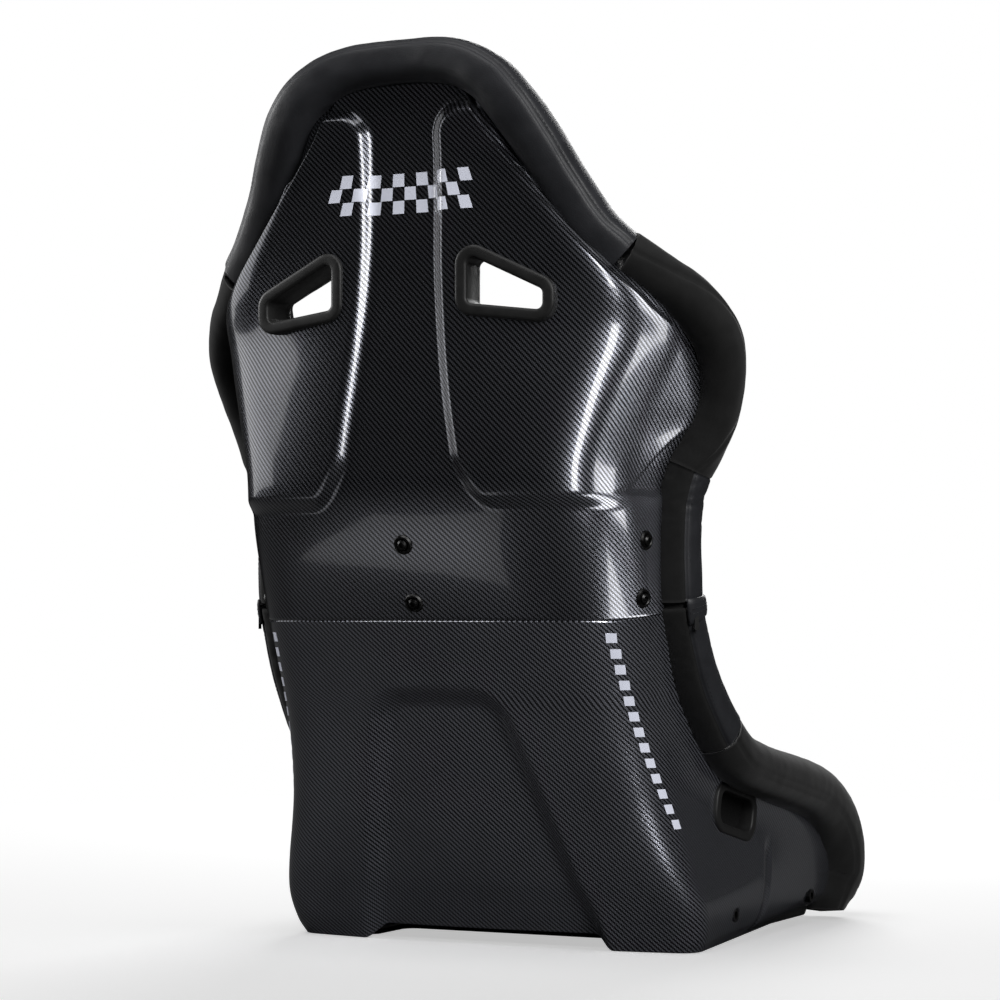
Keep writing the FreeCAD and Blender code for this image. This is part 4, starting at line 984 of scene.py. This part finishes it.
def stitches(name, routes, pitch=5.0, length=3.6, radius=0.42):
    """Rows of short thread segments along lists of points."""
    points, faces = [], []
    for route in routes:
        run = np.concatenate(([0], np.cumsum(np.linalg.norm(np.diff(route, axis=0), axis=1))))
        for start in np.arange(1.0, run[-1] - length, pitch):
            stops = start + length * np.array((0.0, 0.12, 0.5, 0.88, 1.0))
            spots = np.stack([np.interp(stops, run, route[:, c]) for c in range(3)], -1)
            ahead = unit(spots[-1] - spots[0])
            side_way = unit(np.cross(ahead, (0.31, 0.17, 0.93)))
            up_way = np.cross(ahead, side_way)
            base = len(points)
            for spot, size in zip(spots, (0.35, 0.85, 1.0, 0.85, 0.35)):
                for k in range(6):
                    a = math.pi * k / 3
                    points.append(spot + radius * size * (math.cos(a) * side_way + math.sin(a) * up_way))
            for ring in range(4):
                for k in range(6):
                    n = (k + 1) % 6
                    faces.append((base + ring * 6 + k, base + ring * 6 + n,
                                  base + ring * 6 + 6 + n, base + ring * 6 + 6 + k))
            faces += [tuple(base + k for k in range(5, -1, -1)), tuple(base + 24 + k for k in range(6))]
    obj = new_object(name, points, faces)
    return place(obj, THREAD, "leather", [])


TAB_TURNS, TAB_HEIGHT, TAB_DEPTH, TAB_DROP = (-34, 46), 20, 2.8, 5.5


def cover_tab(label, side):
    """Leather flap that lies round the roll at the joint, swelling a little over it."""
    piece = side_rim.part(JOINT_HEIGHT - TAB_DROP + TAB_HEIGHT / 2, JOINT_HEIGHT - TAB_DROP - TAB_HEIGHT / 2)
    turns = np.radians(np.linspace(*TAB_TURNS, 41))[None, :] * np.ones((len(piece.run), 1))
    direction, _ = piece.across(turns, 2.4)
    t = np.linspace(0, 1, len(piece.run))[:, None]
    q = np.linspace(0, 1, 41)[None, :]
    puff = 1.0 * (1 - np.abs(2 * t - 1) ** 4) * (1 - np.abs(2 * q - 1) ** 8)
    foot = piece.radius[:, None] + 0.5
    inside = piece.centre[:, None] + direction * foot[..., None]
    outside = piece.centre[:, None] + direction * (foot + TAB_DEPTH * 0.6 + puff)[..., None]
    flipped = MIRROR if side < 0 else np.ones(3)
    uvs = np.zeros(outside.shape[:2] + (2,))
    obj = skin(f"cover_tab_leather_{label}", outside * flipped, inside * flipped, uvs)
    recalculate(obj)
    place(obj, LEATHER, "leather", [f"cover_tab_{label}"])
    rows = [outside[2:-2, 2], outside[2:-2, -3], outside[2, 2:-2], outside[-3, 2:-2]]
    return [row * flipped for row in rows]


RIGHT_HALF = tuple((-x, depth, z, radius) for x, depth, z, radius in reversed(CROWN_LINE[1:]))
HEAD_SEAM, HEAD_SQUARENESS = 48, 2.45
head_rim = Rim(RIGHT_HALF + CROWN_LINE, (0, 1, 0), crown=True)
side_rim = Rim(SIDE_LINE, (1, 0, 0))
shoulder_rim = side_rim.part(SIDE_LINE[0][2] - 0.5, WAIST_TOP)
waist_rim = side_rim.part(WAIST_TOP - 0.05, JOINT_HEIGHT + 2.5)
hip_rim = side_rim.part(JOINT_HEIGHT - 2.5, THIGH_TOP + 0.5)
thigh_rim = side_rim.part(THIGH_TOP - 0.5, SIDE_LINE[-1][2])
WAIST_SEAM = 47
shoulder_seam = np.interp(shoulder_rim.centre[:, 2], (469, 500, 525, 600, 667), (47, 8, -22, -20, 20))

roll("head_roll_leather", head_rim, HEAD_SEAM, LEATHER, "leather", "head_roll", squareness=HEAD_SQUARENESS)
routes = [rim_route(head_rim, HEAD_SEAM - 9, 1, HEAD_SQUARENESS)]
for label, side in SIDES:
    roll(f"shoulder_roll_suede_{label}", shoulder_rim, shoulder_seam, SUEDE, "suede", f"shoulder_roll_{label}",
         side, groove=1.5, seed=3)
    roll(f"waist_roll_leather_{label}", waist_rim, WAIST_SEAM, LEATHER, "leather", f"waist_roll_{label}", side,
         folds=1.3, fold_zone=(436, 470), strip=SUEDE, seed=5)
    roll(f"hip_roll_leather_{label}", hip_rim, WAIST_SEAM, LEATHER, "leather", f"hip_roll_{label}", side,
         folds=0.8, fold_zone=(280, 320), neck=True, strip=SUEDE, seed=8)
    roll(f"thigh_roll_suede_{label}", thigh_rim, 20, SUEDE, "suede", f"thigh_roll_{label}", side,
         squareness=2.2, groove=1.0, dome=True, seed=12)
    routes += [rim_route(tube, WAIST_SEAM - 14, side) for tube in (waist_rim, hip_rim)]
    routes += cover_tab(label, side)
stitches("rim_stitches", routes)

# ---------------------------------------------------------------- pads on the driver's side

CLOTH_FRAMES = 20


def inflate(obj, pressure, cap, hold):
    """Cloth simulation: the closed cover fills out a little and wrinkles; hold marks the points kept still."""
    rest = np.zeros(len(obj.data.vertices) * 3)
    obj.data.vertices.foreach_get("co", rest)
    rest = rest.reshape(-1, 3)
    group = obj.vertex_groups.new(name="hold")
    for index, weight in enumerate(hold):
        if weight > 0.01:
            group.add([index], float(weight), "REPLACE")
    cloth = obj.modifiers.new("cloth", "CLOTH")
    cloth.settings.quality = 5
    cloth.settings.mass = 0.25
    cloth.settings.tension_stiffness = 18
    cloth.settings.compression_stiffness = 12
    cloth.settings.shear_stiffness = 6
    cloth.settings.bending_stiffness = 0.6
    cloth.settings.use_pressure = True
    cloth.settings.uniform_pressure_force = pressure
    cloth.settings.shrink_min = -0.035
    cloth.settings.vertex_group_mass = "hold"
    cloth.settings.effector_weights.gravity = 0
    cloth.collision_settings.use_collision = False
    scene = bpy.context.scene
    for step in range(1, CLOTH_FRAMES + 1):
        scene.frame_set(step)
    apply_all(obj)
    scene.frame_set(1)
    moved = np.zeros(len(obj.data.vertices) * 3)
    obj.data.vertices.foreach_get("co", moved)
    moved = moved.reshape(-1, 3)
    shift = moved - rest
    length = np.linalg.norm(shift, axis=1, keepdims=True)
    shift = shift * np.minimum(1, cap * MM / np.maximum(length, 1e-9))
    obj.data.vertices.foreach_set("co", (rest + shift).ravel())
    obj.data.update()


def soften(obj, levels=1):
    change = obj.modifiers.new("smooth", "SUBSURF")
    change.levels = change.render_levels = levels
    apply_all(obj)
    obj.data.shade_smooth()


def bulge(t, power=8.0):
    """1 over most of the way and rounded down to 0 at both ends."""
    return (1 - np.abs(2 * t - 1) ** power) ** 0.5


def pillow(name, back, front, crown, material, slot, nodes, side=1, channels=(), channel_depth=4.0,
           pressure=3.0, cap=5.0, edge_power=9.0):
    """Closed cover between a back grid and a front grid; channels are sewn lines at shares of p or q."""
    columns, rows = front.shape[:2]
    p = np.linspace(0, 1, columns)[:, None] * np.ones((1, rows))
    q = np.ones((columns, 1)) * np.linspace(0, 1, rows)[None, :]
    fullness = bulge(p, edge_power) * bulge(q, edge_power)
    lift = crown * (1 - np.abs(2 * p - 1) ** 2.2) * (1 - np.abs(2 * q - 1) ** 2.2)
    groove = np.zeros_like(p)
    width = np.linalg.norm(front[-1, rows // 2] - front[0, rows // 2])
    height = np.linalg.norm(front[columns // 2, -1] - front[columns // 2, 0])
    for kind, at in channels:
        gap = (p - at) * width if kind == "p" else (q - at) * height
        groove = np.maximum(groove, np.exp(-(gap / 3.2) ** 2))
    normal = unit(front - back)
    front_face = back + (front - back) * (0.12 + 0.88 * fullness)[..., None]
    front_face = front_face + normal * (lift * fullness - channel_depth * groove * fullness)[..., None]
    back_face = back.copy()
    points = np.concatenate((front_face.reshape(-1, 3), back_face.reshape(-1, 3)))
    points = points * (MIRROR if side < 0 else 1)
    count = columns * rows
    loop = rim_loop(columns, rows)
    faces = grid_faces(columns, rows, flip=True) + grid_faces(columns, rows, start=count)
    faces += bridge(loop, [k + count for k in loop])
    if side < 0:
        faces = [face[::-1] for face in faces]
    uvs = np.stack((p * width, q * height), -1).reshape(-1, 2)
    obj = new_object(name, points, faces, np.concatenate((uvs, uvs)))
    recalculate(obj)
    held = np.concatenate((np.clip(groove.ravel() * 1.4, 0, 1), np.ones(count)))
    inflate(obj, pressure, cap, held)
    soften(obj)
    return place(obj, material, slot, nodes)


def section_grid(s_low, s_high, z_low, z_high, fraction, columns, rows):
    s = np.linspace(s_low, s_high, columns)[:, None] * np.ones((1, rows))
    z = np.ones((columns, 1)) * np.linspace(z_low, z_high, rows)[None, :]
    return between(s, z, fraction)


PAD_BACK, PAD_FRONT = 0.66, 0.97       # where a pad lies between the shell (0) and the driver's side (1)


def back_pad(name, s_low, s_high, z_low, z_high, crown, material, slot, nodes, side=1, **more):
    """Pad of the backrest between two section parameters and two heights."""
    middle = (z_low + z_high) / 2
    width = np.linalg.norm(between(s_low, middle, 1.0) - between(s_high, middle, 1.0))
    columns, rows = max(int(width / 6), 8), max(int((z_high - z_low) / 6), 8)
    back = section_grid(s_low, s_high, z_low, z_high, PAD_BACK, columns, rows)
    front = section_grid(s_low, s_high, z_low, z_high, PAD_FRONT, columns, rows)
    return pillow(name, back, front, crown, material, slot, nodes, side, **more)


CENTRE_CHANNELS = [("p", share) for share in (0.2, 0.35, 0.5, 0.65, 0.8)]
back_pad("headrest", -0.44, 0.44, 704, 815, 7, LEATHER, "leather", ["headrest_pad"],
         channels=[("p", 0.24), ("p", 0.76)])
shoulder_pad = back_pad("upper_back", -0.47, 0.47, 560, 702, 3, SUEDE, "suede", ["upper_back_pad"],
                        channels=[("q", 0.88)], cap=3.0)
back_pad("middle_back", -0.42, 0.42, 430, 558, 6, SUEDE, "suede", ["back_pad"], channels=CENTRE_CHANNELS)
back_pad("lumbar", -0.42, 0.42, 345, 428, 8, SUEDE, "suede", ["lumbar_pad"], channels=CENTRE_CHANNELS)
back_pad("lower_back", -0.42, 0.42, 100, 343, 4, SUEDE, "suede", ["lower_back_pad"], channels=CENTRE_CHANNELS)
for label, side in SIDES:
    back_pad(f"shoulder_cushion_{label}", 0.48, 0.86, 446, 645, 9, SUEDE, "suede",
             [f"shoulder_bolster_{label}"], side, channels=[("p", 0.5)])
    back_pad(f"waist_cushion_{label}", 0.43, 0.88, 345, 444, 7, SUEDE, "suede", [f"waist_bolster_{label}"],
             side)
    back_pad(f"hip_cushion_{label}", 0.43, 0.86, 182, 343, 7, SUEDE, "suede", [f"hip_bolster_{label}"], side)


def slab(name, node, crown, material, slot, profile, **more):
    """Cushion lying in the place of a CAD block, with its top following a height profile along the depth."""
    low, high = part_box(node)
    x0, y0, z0 = (v / MM for v in low)
    x1, y1, _ = (v / MM for v in high)
    columns, rows = max(int((x1 - x0) / 6), 8), max(int((y1 - y0) / 6), 8)
    x = np.linspace(x0, x1, columns)[:, None] * np.ones((1, rows))
    y = np.ones((columns, 1)) * np.linspace(y1, y0, rows)[None, :]
    back = np.stack((x, y, np.full_like(x, z0)), -1)
    front = np.stack((x, y, profile(x, y)), -1)
    return pillow(name, back, front, crown, material, slot, [node], **more)


def seat_top(x, y):
    depth = FEET - y
    return fair(depth, (0, 80, 220, 370, 418, 430), (94, 90, 99, 118, 110, 96))


slab("seat", "seat_cushion", 4, SUEDE, "suede", seat_top, channels=[("q", k / 6) for k in range(1, 6)],
     edge_power=14.0)


def thigh_top(x, y):
    depth = FEET - y
    lean = 0.35 * (np.abs(x) - 150)
    return fair(depth, (0, 120, 300, 400, 424), (168, 166, 158, 132, 112)) + lean


for label, side in SIDES:
    slab(f"thigh_cushion_{label}", f"thigh_bolster_{label}", 5, SUEDE, "suede", thigh_top,
         channels=[("p", 0.5)])

LINER_LOW, LINER_HIGH, LINER_COLUMNS, LINER_ROWS = 62, 832, 121, 161


def cover_liner():
    """Cover cloth behind the pads; it runs from roll to roll and tucks in under them."""
    at = np.linspace(-1, 1, LINER_COLUMNS)[:, None] * np.ones((1, LINER_ROWS))
    z = np.ones((LINER_COLUMNS, 1)) * np.linspace(LINER_LOW, LINER_HIGH, LINER_ROWS)[None, :]
    s = at * share_at(z)
    tucked = smooth((np.abs(at) - 0.72) / 0.28)
    front, back = between(s, z, 0.72 - 0.44 * tucked), between(s, z, 0.5 - 0.36 * tucked)
    liner = skin("cover_liner", back, front, np.stack((s * 300, z), -1))
    cut(liner, slot_prisms(SHOULDER_PLANE, SLOT_CORNERS, FRAME_WALL, 8, -80, 20))
    recalculate(liner)
    return place(liner, FOAM, "foam", ["back_foam", "lower_back_foam"])


cover_liner()
cut(shoulder_pad, slot_prisms(SHOULDER_PLANE, SLOT_CORNERS, 6, 10, -90, 20))

inward = Plane(SHOULDER_PLANE.origin - SHOULDER_PLANE.out * BEZEL_GAP, SHOULDER_PLANE.right, SHOULDER_PLANE.up,
               -SHOULDER_PLANE.out)
for label, side in SIDES:
    slot_frame(f"shoulder_bezel_{label}", inward, SLOT_CORNERS, SLOT_ROUND, BORDER, 4.0, side,
               f"shoulder_slot_bezel_{label}", flip=True)

# ---------------------------------------------------------------- films


def patch(points, faces, s_low, s_high, z_low, z_high, side, steps=5):
    """Adds one thin rounded patch of film that follows the outer face."""
    s = np.linspace(s_low, s_high, steps)[:, None] * np.ones((1, steps))
    z = np.ones((steps, 1)) * np.linspace(z_low, z_high, steps)[None, :]
    normal = outward(s, z)
    lift = 0.62 if z_low > SEAM else 0.12
    base = len(points)
    loop = rim_loop(steps, steps)
    count = steps * steps
    for height in (lift + 0.12, lift - 0.3):
        layer = outer(s, z) + normal * height
        points.extend((layer * (MIRROR if side < 0 else 1)).reshape(-1, 3).tolist())
    some = grid_faces(steps, steps, start=base) + grid_faces(steps, steps, start=base + count, flip=True)
    some += bridge([base + count + k for k in loop], [base + k for k in loop])
    faces.extend(face[::-1] for face in some) if side < 0 else faces.extend(some)


CHECK, CHECK_GAP, CHECK_ROWS, CHECK_COLUMNS, CHECK_CENTRE = 13, 0.3, 3, 12, 730


def check_film():
    points, faces = [], []
    for row in range(CHECK_ROWS):
        for column in range(row % 2, CHECK_COLUMNS, 2):
            x = (column - CHECK_COLUMNS / 2) * CHECK
            z = CHECK_CENTRE + (row - CHECK_ROWS / 2) * CHECK
            s_low, s_high = s_on_panel(x + CHECK_GAP, z), s_on_panel(x + CHECK - CHECK_GAP, z)
            patch(points, faces, s_low, s_high, z + CHECK_GAP, z + CHECK - CHECK_GAP, 1)
    return new_object("check_film", points, faces, sharp=40)


DASH_COUNT, DASH_LOW, DASH_PITCH, DASH_HEIGHT, DASH_WIDTH = 13, 122, 15, 9, 0.026
DASH_DEPTHS = (-125, -37)


def dash_film(label, side):
    points, faces = [], []
    for i in range(DASH_COUNT):
        z = DASH_LOW + i * DASH_PITCH
        share = i / (DASH_COUNT - 1)
        s = s_on_flank(z, DASH_DEPTHS[1] + (DASH_DEPTHS[0] - DASH_DEPTHS[1]) * share)
        patch(points, faces, s, s + DASH_WIDTH, z, z + DASH_HEIGHT, side)
    return new_object(f"dash_film_{label}", points, faces, sharp=40)


films = [place(check_film(), FILM, "film", ["rear_check_film"])]
for label, side in SIDES:
    films.append(place(dash_film(label, side), FILM, "film", [f"side_dash_film_{label}"]))

# ---------------------------------------------------------------- pieces shown as the CAD made them


def dress(node, material, bevel=0.0):
    """CAD node shown with its own mesh: a material, and softened edges where it needs them."""
    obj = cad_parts[node]
    obj.data.materials.clear()
    obj.data.materials.append(material)
    if bevel:
        change = obj.modifiers.new("soft edges", "BEVEL")
        change.width = bevel * MM
        change.segments = 2
        change.limit_method = "ANGLE"
        change.angle_limit = math.radians(40)
    return obj


for node in ("joint_screws", "joint_washers", "joint_nuts", "rear_backing_plate", "left_backing_plate",
             "right_backing_plate", "side_mount_inserts_left", "side_mount_inserts_right",
             "side_mount_plate_left", "side_mount_plate_right"):
    dress(node, STEEL)
for node in ("joint_collar", "base_pan"):
    dress(node, MOULDED)
dress("seat_foam", FOAM)
for node in ("upper_fastener_strip", "lower_fastener_strip", "tab_hook_left", "tab_hook_right"):
    dress(node, MOULDED, 0.5)

# ---------------------------------------------------------------- floor, light and camera

FLOOR_NEAR, FLOOR_FAR, FLOOR_LIFT, FLOOR_BOUNCE = 0.7, 2.2, 0.5, 0.14


def build_floor():
    mesh = bpy.data.meshes.new("floor")
    size = 30
    corners = [(-size, -size, 0), (size, -size, 0), (size, size, 0), (-size, size, 0)]
    mesh.from_pydata(corners, [], [(0, 1, 2, 3)])
    floor = bpy.data.objects.new("floor", mesh)
    bpy.context.scene.collection.objects.link(floor)
    floor.location.z = CAD_BOX[0][2] - 0.0006
    look = Look("pale_floor")
    ray = look.node("ShaderNodeLightPath").outputs["Is Camera Ray"]
    split = look.node("ShaderNodeSeparateXYZ")
    look.link(look.node("ShaderNodeTexCoord").outputs["Object"], split.inputs[0])
    away = look.math("SQRT", look.math("ADD", look.math("POWER", split.outputs["X"], 2.0),
                                       look.math("POWER", split.outputs["Y"], 2.0)))
    far = look.remap(away, FLOOR_NEAR, FLOOR_FAR, 0.0, 1.0)
    glow = look.math("MULTIPLY", ray, look.math("ADD", FLOOR_LIFT, look.math("MULTIPLY", far, 1 - FLOOR_LIFT)))
    seen = look.mix(far, grey(0.86), grey(0.0))
    paint = look.mix(ray, grey(FLOOR_BOUNCE), seen)
    look.set(Base_Color=paint, Roughness=0.8, Specular_IOR_Level=0.0, Emission_Color=grey(1),
             Emission_Strength=glow)
    mesh.materials.append(look.material)


def softbox(name, place_at, target, width, height, power, only=None):
    """Rectangular light that the camera itself doesn't see; it may shine on one collection only."""
    data = bpy.data.lights.new(name, "AREA")
    data.shape = "RECTANGLE"
    data.size, data.size_y, data.energy = width, height, power
    lamp = bpy.data.objects.new(name, data)
    bpy.context.scene.collection.objects.link(lamp)
    lamp.location = place_at
    lamp.rotation_euler = (Vector(target) - Vector(place_at)).to_track_quat("-Z", "Y").to_euler()
    lamp.visible_camera = False
    if only:
        lamp.light_linking.receiver_collection = only
    return lamp


def build_world(seen, ambient):
    """Bright backdrop for the camera and a dimmer room for everything else."""
    world = bpy.data.worlds.new("studio")
    bpy.context.scene.world = world
    world.use_nodes = True
    nodes, links = world.node_tree.nodes, world.node_tree.links
    sky = nodes["Background"]
    ray = nodes.new("ShaderNodeLightPath")
    strength = nodes.new("ShaderNodeMapRange")
    links.new(ray.outputs["Is Camera Ray"], strength.inputs["Value"])
    strength.inputs["To Min"].default_value = ambient
    strength.inputs["To Max"].default_value = seen
    links.new(strength.outputs["Result"], sky.inputs["Strength"])
    sky.inputs["Color"].default_value = (1, 1, 1, 1)


build_floor()
build_world(1.0, 0.02)
MIDDLE = (0.0, 0.1, 0.45)


def light_group(name, pieces):
    """Collection that a light can be limited to."""
    group = bpy.data.collections.new(name)
    for piece in pieces:
        group.objects.link(piece)
    return group


glossy = light_group("glossy", [upper, lower] + films)
wing = light_group("wing", [upper])
lower_half = light_group("lower_half", [lower])
soft = light_group("soft", [piece for piece in bpy.context.scene.objects
                            if piece.type == "MESH" and piece not in (upper, lower) and piece.name != "floor"])

softbox("overhead", (0.0, 1.2, 3.2), MIDDLE, 2.6, 1.8, 30)
softbox("soft_key", (-2.4, 1.6, 1.9), (0, 0.2, 0.7), 1.6, 1.4, 56, only=soft)
softbox("soft_left", (2.8, 0.6, 1.5), (0, 0.2, 0.6), 1.6, 1.4, 50, only=soft)
softbox("right_strip", (-2.0, 1.95, 0.75), (0, 0.2, 0.4), 0.36, 1.9, 26, only=glossy)
softbox("right_panel", (-2.7, -0.15, 0.95), (0, 0.2, 0.6), 1.5, 1.5, 40, only=wing)
softbox("left_panel", (2.7, 0.75, 1.1), (0, 0.2, 0.6), 2.0, 1.6, 13, only=glossy)
softbox("right_card", (-0.95, 0.1, 0.01), (-0.95, 0.1, 1.0), 0.75, 0.9, 12, only=wing)
softbox("rear_low", (1.5, 3.3, 0.35), (0, 0.2, 0.25), 1.8, 0.9, 42, only=lower_half)
softbox("corner_strip", (-2.3, 1.65, 0.5), (0, 0.2, 0.3), 0.4, 1.4, 75, only=lower_half)
softbox("corner_glow", (-1.75, 2.2, 0.5), (0, 0.2, 0.3), 1.1, 1.2, 10, only=lower_half)
softbox("collar_card", (0.42, 1.15, 0.02), (0.42, 1.15, 1.0), 0.9, 0.8, 1.0, only=wing)
softbox("front_fill", (0.6, -3.0, 1.8), MIDDLE, 2.0, 1.6, 70)

CAMERA_AZIMUTH = math.radians(26)       # from straight behind towards the driver's right
CAMERA_PLACE = Vector((-1.2934, 2.8285, 0.3286))
CAMERA_PITCH = math.radians(2.256)
camera_data = bpy.data.cameras.new("camera")
camera_data.sensor_width = 36
camera_data.lens = 104.8
camera = bpy.data.objects.new("camera", camera_data)
bpy.context.scene.collection.objects.link(camera)
camera.location = CAMERA_PLACE
camera.rotation_euler = Vector((math.sin(CAMERA_AZIMUTH), -math.cos(CAMERA_AZIMUTH),
                                math.tan(CAMERA_PITCH))).to_track_quat("-Z", "Y").to_euler()
bpy.context.scene.camera = camera
bpy.context.scene.view_settings.view_transform = "Standard"
